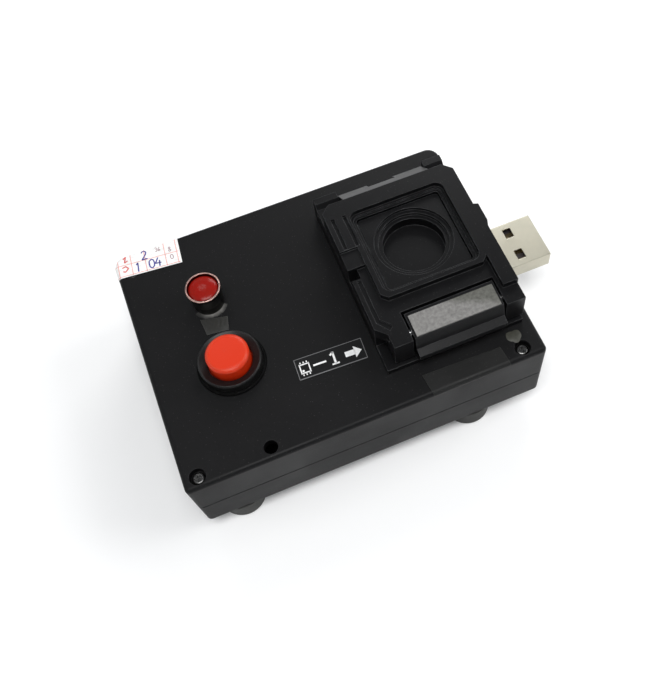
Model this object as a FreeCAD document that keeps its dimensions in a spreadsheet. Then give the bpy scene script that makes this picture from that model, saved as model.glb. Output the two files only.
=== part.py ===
import FreeCAD, Part
import math
import os
import Sketcher

# A bench fixture that reads a ball grid memory chip through spring probes.
# A two-piece black box carries a clamshell chip socket, a red lamp and a red
# push button on its cover, and a USB-A plug comes out of its right end.
# X runs along the box, Y from its front to its rear and Z up. The origin is in
# the middle of the whole length, plug included, on the plane of the rubber feet.

doc = FreeCAD.newDocument("test_fixture")
dim = doc.addObject("Spreadsheet::Sheet", "dim")

SIZES = {
    # Box
    "box_length": 80,
    "box_width": 60,
    "cover_height": 10.8,
    "base_height": 9.4,
    "wall": 2,
    "top_plate": 2,
    "floor_plate": 2,
    "front_corner_radius": 1.1,
    "rear_corner_radius": 2.8,
    "edge_radius": 1,
    "seam_bevel": 0.2,
    "lip_height": 1.2,
    "lip_wall": 0.9,
    "fit_gap": 0.1,
    "boss_radius": 2.4,
    "boss_left_inset": 3.3,
    "boss_front_right_inset": 4.8,
    "boss_rear_right_inset": 2.6,
    "boss_front_inset": 2.5,
    "boss_rear_inset": 4.8,
    "drill_radius": 1.5,
    "drill_x": -21.1,
    "drill_inset_y": 2.6,
    "drill_depth": 2.6,
    # Cover screws
    "screw_radius": 1,
    "screw_length": 13,
    "screw_head_radius": 1.45,
    "screw_head_height": 1,
    "screw_cross_length": 1.7,
    "screw_cross_width": 0.4,
    "screw_cross_depth": 0.5,
    "screw_clearance": 0.15,
    "thread_fit": 0.03,
    "bore_spare": 0.5,
    "sink_radius": 1.75,
    "sink_depth": 1.8,
    # Rubber feet
    "foot_radius": 5.3,
    "foot_height": 5,
    "foot_edge": 0.5,
    "foot_left_x": -31.5,
    "foot_right_x": 24.2,
    "foot_inset_y": 5.1,
    # Lamp
    "lamp_x": -22.7,
    "lamp_y": 10.4,
    "lamp_rim_radius": 3.8,
    "lamp_foot_radius": 3.4,
    "lamp_rise": 6,
    "lamp_rim_wall": 0.4,
    "lamp_thread_radius": 2.95,
    "lamp_thread_length": 7,
    "lamp_bore_radius": 2.4,
    "lamp_washer_radius": 4.4,
    "lamp_nut_flats": 8,
    "nut_thickness": 2,
    "washer_thickness": 0.5,
    "lens_drop": 0.7,
    "lens_dome": 0.8,
    # Push button
    "button_x": -22.7,
    "button_y": -6.4,
    "bezel_radius": 6.8,
    "bezel_rise": 2.9,
    "bezel_chamfer": 0.3,
    "bezel_dish": 0.8,
    "skirt_radius": 7.5,
    "skirt_thickness": 0.5,
    "button_thread_radius": 5.9,
    "button_thread_length": 9,
    "button_nut_flats": 14,
    "cap_radius": 4.6,
    "cap_rise": 5.5,
    "cap_gap": 0.3,
    "cap_edge_radius": 0.5,
    "cap_flange": 0.6,
    "cap_depth": 3.4,
    "button_travel": 2,
    "stem_radius": 1.5,
    "switch_base_thickness": 1.6,
    "terminal_width": 2.2,
    "terminal_thickness": 0.5,
    "terminal_length": 3.2,
    "terminal_spacing": 5.6,
    "spring_turns": 4,
    "button_spring_radius": 2.6,
    "button_spring_wire": 0.28,
    # Circuit board and plug
    "board_thickness": 1.2,
    "board_left_x": -7,
    "board_end_gap": 0.4,
    "board_half_width": 21,
    "post_radius": 2.2,
    "post_inset": 3,
    "plug_y": 1,
    "plug_width": 12,
    "plug_height": 4.5,
    "plug_length": 18.75,
    "plug_reach": 14.4,
    "plug_sheet": 0.3,
    "plug_corner": 0.4,
    "plug_depth": 7.35,
    "plug_window_length": 2,
    "plug_window_width": 2.6,
    "plug_window_reach": 6.6,
    "plug_window_spacing": 6.3,
    "tongue_thickness": 1.9,
    "tongue_setback": 0.6,
    "tongue_side_gap": 0.15,
    "contact_pitch": 2.5,
    "contact_width": 1.1,
    "contact_thickness": 0.2,
    "controller_side": 9,
    "controller_thickness": 1.1,
    "controller_x": 2.6,
    "controller_y": 3,
    "passive_length": 1.6,
    "passive_width": 0.8,
    "passive_pitch": 2.4,
    # Chip socket, from the cover's top and the socket's own middle
    "socket_x": 22.8,
    "socket_length": 32,
    "socket_width": 44,
    "chip_y": 1.4,
    "flange_height": 1.6,
    "deck_height": 5.4,
    "deck_front_y": -15.5,
    "stem_length": 22,
    "stem_width": 30,
    "stem_gap": 0.3,
    "base_right": 15,
    "flange_well_length": 27.8,
    "flange_well_width": 21,
    "flange_well_floor": 2.9,
    "nest_well_side": 19.8,
    "nest_well_floor": 0.3,
    "probe_window": 9,
    "retainer_side": 13,
    "retainer_thickness": 1,
    "catch_half_length": 9.6,
    "catch_nose_y": -18.2,
    "catch_bottom": 3.7,
    "catch_top": 4.9,
    "catch_bevel": 0.6,
    "ear_inner": 10.5,
    "ear_front_y": 19.2,
    "ear_top": 6.4,
    "ear_corner": 1.2,
    "hinge_y": 19.4,
    "hinge_z": 3.9,
    "hinge_pin_radius": 0.8,
    "pin_end_gap": 0.2,
    "pin_clearance": 0.05,
    "knuckle_radius": 2.4,
    "knuckle_gap": 0.3,
    "knuckle_floor": 1.1,
    "knuckle_room_y": 16.4,
    "socket_screw_radius": 1,
    "socket_screw_length": 5,
    "socket_screw_head_radius": 1.9,
    "socket_screw_x": 8.5,
    "socket_screw_y": 12,
    # Lid
    "lid_gap": 0.3,
    "lid_top": 10.5,
    "lid_floor": 9,
    "lid_rear_y": 16.2,
    "lid_corner_cut": 2,
    "lid_right_rear": 14.9,
    "lid_right_step": 15.9,
    "lid_right_front": 15.4,
    "lid_step_rear_y": 3.6,
    "lid_step_front_y": -1.4,
    "lid_notch_rear_y": -0.9,
    "lid_notch_front_y": -3.2,
    "lid_notch_depth": 2,
    "lid_step_slope": 0.4,
    "lid_front_slope": 1.5,
    "lid_shoulder_y": -15.6,
    "lid_right_shoulder_y": -17.3,
    "lid_corner_y": -17.9,
    "latch_slot_y": -14,
    "latch_x": 0.75,
    "arm_inner": 10.4,
    "arm_outer": 14.6,
    "arm_front_y": -21.2,
    "arm_bottom": 2.2,
    "rim_width": 1.1,
    "rim_corner": 1.3,
    "channel_left_inset": 0.95,
    "channel_right_inset": 1.9,
    "channel_depth": 0.4,
    "channel_end_gap": 0.4,
    "channel_bend": 1.2,
    "channel_toe": 2,
    "channel_front_gap": 0.8,
    "window_side": 21.8,
    "window_step": 0.6,
    "window_first_depth": 1.2,
    "window_second_depth": 1.6,
    "window_corner": 2,
    "groove_width": 0.8,
    "groove_depth": 0.6,
    "groove_front_y": 3.8,
    "groove_rear_y": 12.2,
    "pad_depth": 0.6,
    "pad_gap": 0.2,
    "pad_reach": 1,
    # Pressure block
    "block_gap": 0.2,
    "block_floor": 8.4,
    "block_flange_end_gap": 0.8,
    "block_flange_side_gap": 2.7,
    "block_flange_bottom": 3.9,
    "block_flange_thickness": 1.2,
    "foot_pad_length": 10.6,
    "foot_pad_width": 12,
    "foot_pad_bottom": 2.6,
    "dial_radius": 8.6,
    "dial_step": 0.9,
    "dial_step_depth": 0.7,
    "dial_floor": 4.5,
    "guide_screw_inset": 1.3,
    "guide_screw_radius": 0.7,
    "guide_head_radius": 1.15,
    "guide_head_height": 0.6,
    "guide_screw_length": 5,
    "pressure_spring_y": 5.4,
    "pressure_spring_radius": 0.75,
    "pressure_spring_wire": 0.2,
    "pressure_spring_well": 1.15,
    "pressure_spring_height": 3,
    # Latch
    "latch_gap": 0.5,
    "latch_pin_y": -18.2,
    "latch_pin_z": 6.9,
    "latch_pin_radius": 0.75,
    "latch_rear_y": -14.9,
    "latch_rear_top": 9.3,
    "latch_front_y": -20.7,
    "latch_front_top": 8.8,
    "lip_y": -23.3,
    "lip_top": 4.9,
    "lip_bottom": 3.8,
    "hook_toe_y": -17.3,
    "hook_top": 3.5,
    "hook_bottom": 2.6,
    "plate_thickness": 0.3,
    "plate_end_gap": 0.5,
    "plate_rear_gap": 0.8,
    "plate_front_gap": 0.1,
    # Chip nest and probes
    "nest_gap": 0.3,
    "nest_bottom": 1.5,
    "nest_top": 3.3,
    "chip_length": 11.5,
    "chip_width": 13,
    "chip_gap": 0.1,
    "guide_setback": 0.8,
    "guide_thickness": 0.7,
    "probe_pitch": 0.5,
    "barrel_radius": 0.16,
    "barrel_top": 0.2,
    "plunger_radius": 0.1,
    "plunger_top": 1.35,
    "plunger_tail": 1.4,
    "barrel_bore_depth": 2,
    "probe_fit": 0.02,
    "nest_spring_radius": 0.7,
    "nest_spring_wire": 0.18,
    "nest_spring_inset": 1.7,
    "nest_spring_depth": 1.6,
    "nest_spring_room": 0.35,
    "nest_screw_inset": 1.9,
    "nest_screw_radius": 0.6,
    "nest_screw_length": 3.6,
    "nest_screw_head_radius": 1.1,
    "nest_screw_head_height": 0.6,
    # Wound springs on the two pins
    "hinge_spring_radius": 1.35,
    "hinge_spring_wire": 0.2,
    "hinge_spring_length": 4.6,
    "hinge_spring_lower_leg": 2.9,
    "hinge_spring_upper_leg": 2.3,
    "hinge_slot_length": 6.4,
    "hinge_slot_gap": 0.4,
    "latch_spring_radius": 1.05,
    "latch_spring_wire": 0.15,
    "latch_spring_length": 2.8,
    "latch_spring_upper_leg": 2.8,
    "latch_slot_length": 4,
    "latch_slot_front": 1.7,
    "latch_slot_rear": 1,
    "latch_slot_under": 1.75,
    "latch_slot_over": 1.35,
}

for row, (alias, number) in enumerate(SIZES.items(), 1):
    dim.set("A%d" % row, alias)
    dim.set("B%d" % row, str(number))
    dim.setAlias("B%d" % row, alias)
doc.recompute()

# Heights and places that several pieces share, from the sizes above
SEAM = "(dim.foot_height + dim.base_height)"
TOP = "(dim.foot_height + dim.base_height + dim.cover_height)"
BOSS_LEFT = "(dim.boss_left_inset - dim.box_length / 2)"
BOSS_FRONT = "(dim.boss_front_inset - dim.box_width / 2)"
BOSS_REAR = "(dim.box_width / 2 - dim.boss_rear_inset)"
BOSSES = [(BOSS_LEFT, BOSS_FRONT), (BOSS_LEFT, BOSS_REAR),
          ("(dim.box_length / 2 - dim.boss_front_right_inset)", BOSS_FRONT),
          ("(dim.box_length / 2 - dim.boss_rear_right_inset)", BOSS_REAR)]
BOARD_TOP = "(dim.plug_depth - dim.board_thickness)"
BOARD_UNDER = "(%s - dim.plug_depth)" % TOP
BOARD_RIGHT = "(dim.box_length / 2 - dim.wall - dim.board_end_gap)"
PLUG_TIP = "(dim.box_length / 2 + dim.plug_reach)"
HALF_LENGTH = "(dim.socket_length / 2)"
HALF_WIDTH = "(dim.socket_width / 2)"
LID_UNDER = "(dim.deck_height + dim.lid_gap)"
FLANGE_LENGTH = "(dim.flange_well_length - 2 * dim.block_flange_end_gap)"
GUIDE_X = "(%s / 2 - dim.guide_screw_inset)" % FLANGE_LENGTH
NEST_SIDE = "(dim.nest_well_side - 2 * dim.nest_gap)"
NEST_SCREW_X = "(%s / 2 - dim.nest_screw_inset)" % NEST_SIDE
THREAD_BOTTOM = "(dim.top_plate + dim.button_thread_length)"

# The memory chip's used balls: a row letter and a column number each
BALL_ROWS = "ABCDEFGHJKLMNP"
BALLS = ("A3 A4 A5 B2 B3 B4 B5 B6 C2 C4 C6 E6 E7 F5 G5 H5 H10 J5 J10 K5 K8 K9 "
         "M4 M5 M6 N2 N4 N5 P3 P4 P5 P6").split()

nodes = []


def value(expression):
    """The number that a dimension expression stands for."""
    return float(dim.evalExpression(expression))


def new_body(label, x="0", y="0", z="0"):
    """A piece in a frame of its own that stands at x, y, z from the box's middle."""
    body = doc.addObject("PartDesign::Body", label)
    body.Label = label
    body.setExpression("Placement.Base.x", "%s - dim.plug_reach / 2" % x)
    body.setExpression("Placement.Base.y", y)
    body.setExpression("Placement.Base.z", z)
    nodes.append(body)
    return body


def origin_feature(body, role):
    """The body's own plane or axis of that role."""
    for feature in body.Origin.OriginFeatures:
        if feature.Role == role:
            return feature
    raise ValueError(role)


def rectangle(x, y, length, width):
    """The corner points of a rectangle centred on x, y."""
    left = "%s - (%s) / 2" % (x, length)
    right = "%s + (%s) / 2" % (x, length)
    front = "%s - (%s) / 2" % (y, width)
    rear = "%s + (%s) / 2" % (y, width)
    return [(left, front), (right, front), (right, rear), (left, rear)]


def circle(x, y, radius):
    """A round loop of a sketch."""
    return ("circle", x, y, radius)


def cross(x, y):
    """The corner points of a screw's cross recess."""
    long, short = "dim.screw_cross_length / 2", "dim.screw_cross_width / 2"
    quarter = [(long, short), (short, short), (short, long)]
    points = []
    for sign_x, sign_y, order in (("+", "+", 1), ("-", "+", -1), ("-", "-", 1), ("+", "-", -1)):
        points += [(x + sign_x + a, y + sign_y + b) for a, b in quarter[::order]]
    return points


def hexagon(flats):
    """The corner points of a hexagon of that width across its flats."""
    tip = "%s / sqrt(3)" % flats
    side = "%s / sqrt(12)" % flats
    half = "%s / 2" % flats
    return [(tip, "0"), (side, half), ("-" + side, half),
            ("-" + tip, "0"), ("-" + side, "-" + half), (side, "-" + half)]


def fix_point(sketch, index, position, x, y, point):
    """Ties a point of the sketch to its two dimension expressions."""
    for kind, expression, number in (("DistanceX", x, point.x), ("DistanceY", y, point.y)):
        place = sketch.addConstraint(Sketcher.Constraint(kind, -1, 1, index, position, number))
        sketch.setExpression("Constraints[%d]" % place, expression)


def new_sketch(body, name, role, loops, offset="0"):
    """A sketch of closed loops on one of the body's own planes."""
    sketch = body.newObject("Sketcher::SketchObject", name)
    sketch.AttachmentSupport = [(origin_feature(body, role), "")]
    sketch.MapMode = "FlatFace"
    sketch.setExpression("AttachmentOffset.Base.z", offset)
    for loop in loops:
        if loop[0] == "circle":
            x, y, radius = loop[1:]
            centre = FreeCAD.Vector(value(x), value(y), 0)
            curve = Part.Circle(centre, FreeCAD.Vector(0, 0, 1), value(radius))
            index = sketch.addGeometry(curve, False)
            place = sketch.addConstraint(Sketcher.Constraint("Radius", index, value(radius)))
            sketch.setExpression("Constraints[%d]" % place, radius)
            fix_point(sketch, index, 3, x, y, centre)
            continue
        points = [FreeCAD.Vector(value(x), value(y), 0) for x, y in loop]
        count = len(points)
        first = sketch.GeometryCount
        for i in range(count):
            sketch.addGeometry(Part.LineSegment(points[i], points[(i + 1) % count]), False)
        for i in range(count):
            follower = first + (i + 1) % count
            sketch.addConstraint(Sketcher.Constraint("Coincident", first + i, 2, follower, 1))
        for i, (x, y) in enumerate(loop):
            fix_point(sketch, first + i, 1, x, y, points[i])
    return sketch


def pad(body, name, role, loops, length, offset="0", both=False, down=False):
    """Adds the loops, raised by a length from their plane."""
    sketch = new_sketch(body, name + "_sketch", role, loops, offset)
    feature = body.newObject("PartDesign::Pad", name)
    feature.Profile = sketch
    feature.setExpression("Length", length)
    feature.Midplane = both
    feature.Reversed = down
    doc.recompute()
    return feature


def pocket(body, name, role, loops, length, offset="0", both=False, up=False):
    """Cuts the loops into the body, downwards unless it says up."""
    before = body.Shape.Volume
    sketch = new_sketch(body, name + "_sketch", role, loops, offset)
    feature = body.newObject("PartDesign::Pocket", name)
    feature.Profile = sketch
    feature.setExpression("Length", length)
    feature.Midplane = both
    feature.Reversed = up
    doc.recompute()
    if body.Shape.Volume > before - 1e-6:
        raise RuntimeError("%s cuts nothing from %s" % (name, body.Label))
    return feature


def turned(body, name, points):
    """Turns a profile of radius and height about the body's own Z axis."""
    sketch = new_sketch(body, name + "_sketch", "XZ_Plane", [points])
    feature = body.newObject("PartDesign::Revolution", name)
    feature.Profile = sketch
    feature.ReferenceAxis = (sketch, ["V_Axis"])
    feature.Angle = 360
    doc.recompute()
    return feature


def bored(body, name, points):
    """Cuts a turned profile of radius and height about the body's own Z axis."""
    before = body.Shape.Volume
    sketch = new_sketch(body, name + "_sketch", "XZ_Plane", [points])
    feature = body.newObject("PartDesign::Groove", name)
    feature.Profile = sketch
    feature.ReferenceAxis = (sketch, ["V_Axis"])
    feature.Angle = 360
    doc.recompute()
    if body.Shape.Volume > before - 1e-6:
        raise RuntimeError("%s cuts nothing from %s" % (name, body.Label))
    return feature


def coil(body, name, radius, wire, height, turns, along="V_Axis"):
    """Winds a round wire along the body's own Z axis, or along X for the H axis."""
    start = circle(radius, wire, wire) if along == "V_Axis" else circle(wire, radius, wire)
    sketch = new_sketch(body, name + "_sketch", "XZ_Plane", [start])
    feature = body.newObject("PartDesign::AdditiveHelix", name)
    feature.Profile = sketch
    feature.ReferenceAxis = (sketch, [along])
    feature.Mode = "height-turns-angle"
    feature.setExpression("Height", "%s - 2 * %s" % (height, wire))
    feature.setExpression("Turns", turns)
    doc.recompute()
    return feature


def repeat(body, name, feature, spacing_x=None, spacing_y=None):
    """Repeats a feature once along X, along Y or at the four corners."""
    whole = body.newObject("PartDesign::MultiTransform", name)
    whole.Originals = [feature]
    steps = []
    for role, spacing in (("X_Axis", spacing_x), ("Y_Axis", spacing_y)):
        if spacing is None:
            continue
        step = doc.addObject("PartDesign::LinearPattern", name + "_" + role[0].lower())
        step.Direction = (origin_feature(body, role), [""])
        step.setExpression("Length", spacing)
        step.Occurrences = 2
        body.addObject(step)
        steps.append(step)
    whole.Transformations = steps
    body.Tip = whole
    doc.recompute()
    return whole


def dome(radius, flat, rim, crown):
    """Profile points of a quarter ellipse, from the rim's height to a flat at the crown's height."""
    points = []
    for step in range(1, 6):
        angle = math.radians(18 * step)
        points.append(("%s + (%s - %s) * %.4f" % (flat, radius, flat, math.cos(angle)),
                       "%s + (%s - %s) * %.4f" % (rim, crown, rim, math.sin(angle))))
    return points


def edges_where(shape, test):
    """The names of the edges that pass a test."""
    return ["Edge%d" % i for i, edge in enumerate(shape.Edges, 1) if test(edge)]


def soften(body, name, radius, test, kind="Fillet"):
    """Rounds or bevels the edges that pass a test."""
    base = body.Tip
    names = edges_where(base.Shape, test)
    if not names:
        raise RuntimeError("%s finds no edge on %s" % (name, body.Label))
    feature = body.newObject("PartDesign::" + kind, name)
    feature.Base = (base, names)
    feature.setExpression("Radius" if kind == "Fillet" else "Size", radius)
    doc.recompute()
    return feature


def upright_at(x, y, middle_y="0", sides=(-1, 1)):
    """A test for upright edges at a distance x, y from a middle, in front, behind or both."""
    def test(edge):
        box = edge.BoundBox
        near_x = abs(abs(box.Center.x) - value(x)) < 1e-4
        near_y = min(abs(box.Center.y - value(middle_y) - side * value(y)) for side in sides) < 1e-4
        return box.XLength < 1e-6 and box.YLength < 1e-6 and near_x and near_y
    return test


def level_at(z):
    """A test for edges that lie flat at height z."""
    def test(edge):
        box = edge.BoundBox
        return abs(box.ZMin - value(z)) < 1e-4 and abs(box.ZMax - value(z)) < 1e-4
    return test


def boss_circles(radius):
    """Four round loops at the box's corner bosses."""
    return [circle(x, y, radius) for x, y in BOSSES]


def round_corners(body):
    """Rounds the box's upright corners: tight in front and wider behind."""
    for name, radius, side in (("front", "dim.front_corner_radius", -1), ("rear", "dim.rear_corner_radius", 1)):
        test = upright_at("dim.box_length / 2", "dim.box_width / 2", sides=(side,))
        soften(body, name + "_corners", radius, test)


def post_circles(radius):
    """Four round loops where posts of both halves clamp the circuit board."""
    left = "(dim.board_left_x + dim.post_inset)"
    right = "(%s - dim.post_inset)" % BOARD_RIGHT
    return [circle(x, side + "(dim.board_half_width - dim.post_inset)", radius)
            for x in (left, right) for side in ("-", "")]


def ball_circles(radius):
    """One round loop for each probe, on the chip's ball grid."""
    loops = []
    for ball in BALLS:
        column = int(ball[1:]) - 7.5
        line = 6.5 - BALL_ROWS.index(ball[0])
        loops.append(circle("dim.probe_pitch * %g" % column, "dim.probe_pitch * %g" % line, radius))
    return loops


# Lower half of the box: an open tray with a lip that locates the cover,
# four screw bosses and four posts that carry the circuit board
base = new_body("enclosure_base", z="dim.foot_height")
pad(base, "shell", "XY_Plane", [rectangle("0", "0", "dim.box_length", "dim.box_width")], "dim.base_height")
round_corners(base)
soften(base, "bottom_edge", "dim.edge_radius", level_at("0"))
soften(base, "seam_edge", "dim.seam_bevel", level_at("dim.base_height"), "Chamfer")
pocket(base, "tray", "XY_Plane",
       [rectangle("0", "0", "dim.box_length - 2 * dim.wall", "dim.box_width - 2 * dim.wall")],
       "dim.base_height - dim.floor_plate", offset="dim.base_height")
pad(base, "lip", "XY_Plane",
    [rectangle("0", "0", "dim.box_length - 2 * dim.wall + 2 * dim.lip_wall",
               "dim.box_width - 2 * dim.wall + 2 * dim.lip_wall"),
     rectangle("0", "0", "dim.box_length - 2 * dim.wall", "dim.box_width - 2 * dim.wall")],
    "dim.lip_height", offset="dim.base_height")
pad(base, "bosses", "XY_Plane", boss_circles("dim.boss_radius"),
    "dim.base_height - dim.floor_plate", offset="dim.floor_plate")
pocket(base, "boss_bores", "XY_Plane", boss_circles("dim.screw_radius + dim.thread_fit"),
       "dim.base_height + dim.lip_height - dim.floor_plate + 1", offset="dim.base_height + dim.lip_height")
pad(base, "posts", "XY_Plane", post_circles("dim.post_radius"),
    "%s - dim.foot_height - dim.floor_plate" % BOARD_UNDER, offset="dim.floor_plate")
PLUG_CENTRE = "(%s - dim.plug_depth - dim.plug_height / 2)" % TOP
plug_opening = rectangle("dim.plug_y", "%s - dim.foot_height" % PLUG_CENTRE,
                         "dim.plug_width + 2 * dim.fit_gap", "dim.plug_height + 2 * dim.fit_gap")
pocket(base, "plug_opening", "YZ_Plane", [plug_opening], "3 * dim.wall",
       offset="dim.box_length / 2", both=True)

# Upper half of the box: a cover with screw bosses under counterbores, posts
# that press on the circuit board, holes for the lamp and the button, and a
# window for the socket's stem
cover = new_body("enclosure_cover", z=SEAM)
pad(cover, "shell", "XY_Plane", [rectangle("0", "0", "dim.box_length", "dim.box_width")], "dim.cover_height")
round_corners(cover)
soften(cover, "top_edge", "dim.edge_radius", level_at("dim.cover_height"))
soften(cover, "seam_edge", "dim.seam_bevel", level_at("0"), "Chamfer")
pocket(cover, "hollow", "XY_Plane",
       [rectangle("0", "0", "dim.box_length - 2 * dim.wall", "dim.box_width - 2 * dim.wall")],
       "dim.cover_height - dim.top_plate", up=True)
pad(cover, "bosses", "XY_Plane", boss_circles("dim.boss_radius"), "dim.cover_height - dim.top_plate")
pad(cover, "posts", "XY_Plane", post_circles("dim.post_radius"), "%s - dim.top_plate" % BOARD_TOP,
    offset="dim.cover_height - %s" % BOARD_TOP)
pocket(cover, "lip_rebate", "XY_Plane",
       [rectangle("0", "0", "dim.box_length - 2 * dim.wall + 2 * (dim.lip_wall + dim.fit_gap)",
                  "dim.box_width - 2 * dim.wall + 2 * (dim.lip_wall + dim.fit_gap)"),
        rectangle("0", "0", "dim.box_length - 2 * dim.wall - 2 * dim.fit_gap",
                  "dim.box_width - 2 * dim.wall - 2 * dim.fit_gap")],
       "dim.lip_height + dim.fit_gap", up=True)
screw_sketch = new_sketch(cover, "screw_holes_sketch", "XY_Plane",
                          boss_circles("dim.screw_radius"), offset="dim.cover_height")
doc.recompute()
screw_holes = cover.newObject("PartDesign::Hole", "screw_holes")
screw_holes.Profile = screw_sketch
screw_holes.DepthType = "ThroughAll"
screw_holes.setExpression("Diameter", "2 * (dim.screw_radius + dim.screw_clearance)")
screw_holes.HoleCutType = "Counterbore"
screw_holes.setExpression("HoleCutDiameter", "2 * dim.sink_radius")
screw_holes.setExpression("HoleCutDepth", "dim.sink_depth")
doc.recompute()
pocket(cover, "panel_holes", "XY_Plane",
       [circle("dim.lamp_x", "dim.lamp_y", "dim.lamp_thread_radius + dim.fit_gap"),
        circle("dim.button_x", "dim.button_y", "dim.button_thread_radius + dim.fit_gap"),
        rectangle("dim.socket_x", "0", "dim.stem_length + 2 * dim.stem_gap", "dim.stem_width + 2 * dim.stem_gap")],
       "2 * dim.top_plate", offset="dim.cover_height")
pocket(cover, "drilled_hole", "XY_Plane",
       [circle("dim.drill_x", "-(dim.box_width / 2 - dim.drill_inset_y)", "dim.drill_radius")],
       "dim.drill_depth", offset="dim.cover_height")
plug_opening = rectangle("dim.plug_y", "%s - %s" % (PLUG_CENTRE, SEAM),
                         "dim.plug_width + 2 * dim.fit_gap", "dim.plug_height + 2 * dim.fit_gap")
pocket(cover, "plug_opening", "YZ_Plane", [plug_opening], "3 * dim.wall",
       offset="dim.box_length / 2", both=True)

# Four cross-recessed screws that hold the cover down
screws = new_body("cover_screws", z="%s - dim.sink_depth" % TOP)
pad(screws, "heads", "XY_Plane", boss_circles("dim.screw_head_radius"), "dim.screw_head_height")
soften(screws, "rounded_heads", "dim.screw_head_height * 0.6", level_at("dim.screw_head_height"))
pad(screws, "shanks", "XY_Plane", boss_circles("dim.screw_radius"), "dim.screw_length", down=True)
pocket(screws, "crosses", "XY_Plane", [cross(x, y) for x, y in BOSSES], "dim.screw_cross_depth",
       offset="dim.screw_head_height")

# Four stick-on rubber feet with rounded lower edges
feet = new_body("rubber_feet", x="dim.foot_left_x", y="-(dim.box_width / 2 - dim.foot_inset_y)")
foot = turned(feet, "foot",
              [("0", "dim.foot_height"), ("dim.foot_radius", "dim.foot_height"),
               ("dim.foot_radius", "dim.foot_edge")]
              + dome("dim.foot_radius", "(dim.foot_radius - dim.foot_edge)", "dim.foot_edge", "0") + [("0", "0")])
repeat(feet, "corners", foot, "dim.foot_right_x - dim.foot_left_x",
       "dim.box_width - 2 * dim.foot_inset_y")

# Lamp: a flared chromed holder with a threaded sleeve, a red lens, a washer
# and a nut under the cover
lamp = new_body("lamp_bezel", x="dim.lamp_x", y="dim.lamp_y", z=TOP)
LAMP_CUP_RADIUS = "(dim.lamp_rim_radius - dim.lamp_rim_wall)"
LAMP_CUP_FLOOR = "(dim.lamp_rise * 0.7)"
turned(lamp, "holder",
       [("dim.lamp_bore_radius", "-dim.lamp_thread_length"), ("dim.lamp_thread_radius", "-dim.lamp_thread_length"),
        ("dim.lamp_thread_radius", "0"), ("dim.lamp_foot_radius", "0"),
        ("dim.lamp_foot_radius", "dim.lamp_rise * 0.35"),
        ("dim.lamp_rim_radius", "dim.lamp_rise * 0.85"), ("dim.lamp_rim_radius", "dim.lamp_rise"),
        (LAMP_CUP_RADIUS, "dim.lamp_rise"), (LAMP_CUP_RADIUS, LAMP_CUP_FLOOR),
        ("dim.lamp_bore_radius", LAMP_CUP_FLOOR)])
lens = new_body("lamp_lens", x="dim.lamp_x", y="dim.lamp_y", z=TOP)
LENS_RADIUS = "(dim.lamp_bore_radius - dim.fit_gap)"
LENS_RIM = "(%s - dim.fit_gap)" % LAMP_CUP_RADIUS
LENS_EDGE = "(dim.lamp_rise - dim.lens_drop)"
turned(lens, "dome",
       [("0", "0"), (LENS_RADIUS, "0"), (LENS_RADIUS, LAMP_CUP_FLOOR + " + dim.fit_gap"),
        (LENS_RIM, LAMP_CUP_FLOOR + " + dim.fit_gap"), (LENS_RIM, LENS_EDGE)]
       + dome(LENS_RIM, "0", LENS_EDGE, "(%s + dim.lens_dome)" % LENS_EDGE))
lamp_washer = new_body("lamp_washer", x="dim.lamp_x", y="dim.lamp_y",
                       z="%s - dim.top_plate - dim.washer_thickness" % TOP)
pad(lamp_washer, "ring", "XY_Plane",
    [circle("0", "0", "dim.lamp_washer_radius"), circle("0", "0", "dim.lamp_thread_radius + dim.fit_gap")],
    "dim.washer_thickness")
lamp_nut = new_body("lamp_nut", x="dim.lamp_x", y="dim.lamp_y",
                    z="%s - dim.top_plate - dim.washer_thickness - dim.nut_thickness" % TOP)
pad(lamp_nut, "nut", "XY_Plane",
    [hexagon("dim.lamp_nut_flats"), circle("0", "0", "dim.lamp_thread_radius + dim.thread_fit")],
    "dim.nut_thickness")

# Push button: a round skirt and bezel on the cover, a threaded sleeve through
# it with a nut below, and a sprung cap that slides in the sleeve
skirt = new_body("button_skirt", x="dim.button_x", y="dim.button_y", z=TOP)
pad(skirt, "ring", "XY_Plane",
    [circle("0", "0", "dim.skirt_radius"), circle("0", "0", "dim.button_thread_radius + dim.fit_gap")],
    "dim.skirt_thickness")
soften(skirt, "rounded_rim", "dim.skirt_thickness * 0.6", level_at("dim.skirt_thickness"), "Chamfer")
bezel = new_body("button_bezel", x="dim.button_x", y="dim.button_y", z=TOP)
CAP_BORE = "(dim.cap_radius + dim.cap_gap)"
FLANGE_BORE = "(dim.cap_radius + dim.cap_flange + dim.cap_gap)"
turned(bezel, "sleeve",
       [(FLANGE_BORE, "-" + THREAD_BOTTOM), ("dim.button_thread_radius", "-" + THREAD_BOTTOM),
        ("dim.button_thread_radius", "dim.skirt_thickness"), ("dim.bezel_radius", "dim.skirt_thickness"),
        ("dim.bezel_radius", "dim.bezel_rise - dim.bezel_chamfer"),
        ("dim.bezel_radius - dim.bezel_chamfer", "dim.bezel_rise"),
        (CAP_BORE, "dim.bezel_rise - dim.bezel_dish"),
        (CAP_BORE, "0"), (FLANGE_BORE, "0")])
nut = new_body("button_nut", x="dim.button_x", y="dim.button_y",
               z="%s - dim.top_plate - dim.nut_thickness" % TOP)
pad(nut, "nut", "XY_Plane",
    [hexagon("dim.button_nut_flats"), circle("0", "0", "dim.button_thread_radius + dim.thread_fit")],
    "dim.nut_thickness")
cap = new_body("button_cap", x="dim.button_x", y="dim.button_y", z=TOP)
CAP_FLANGE = "(dim.cap_radius + dim.cap_flange)"
CAP_STEM_BOTTOM = "(%s - dim.switch_base_thickness - dim.button_travel - dim.fit_gap)" % THREAD_BOTTOM
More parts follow.
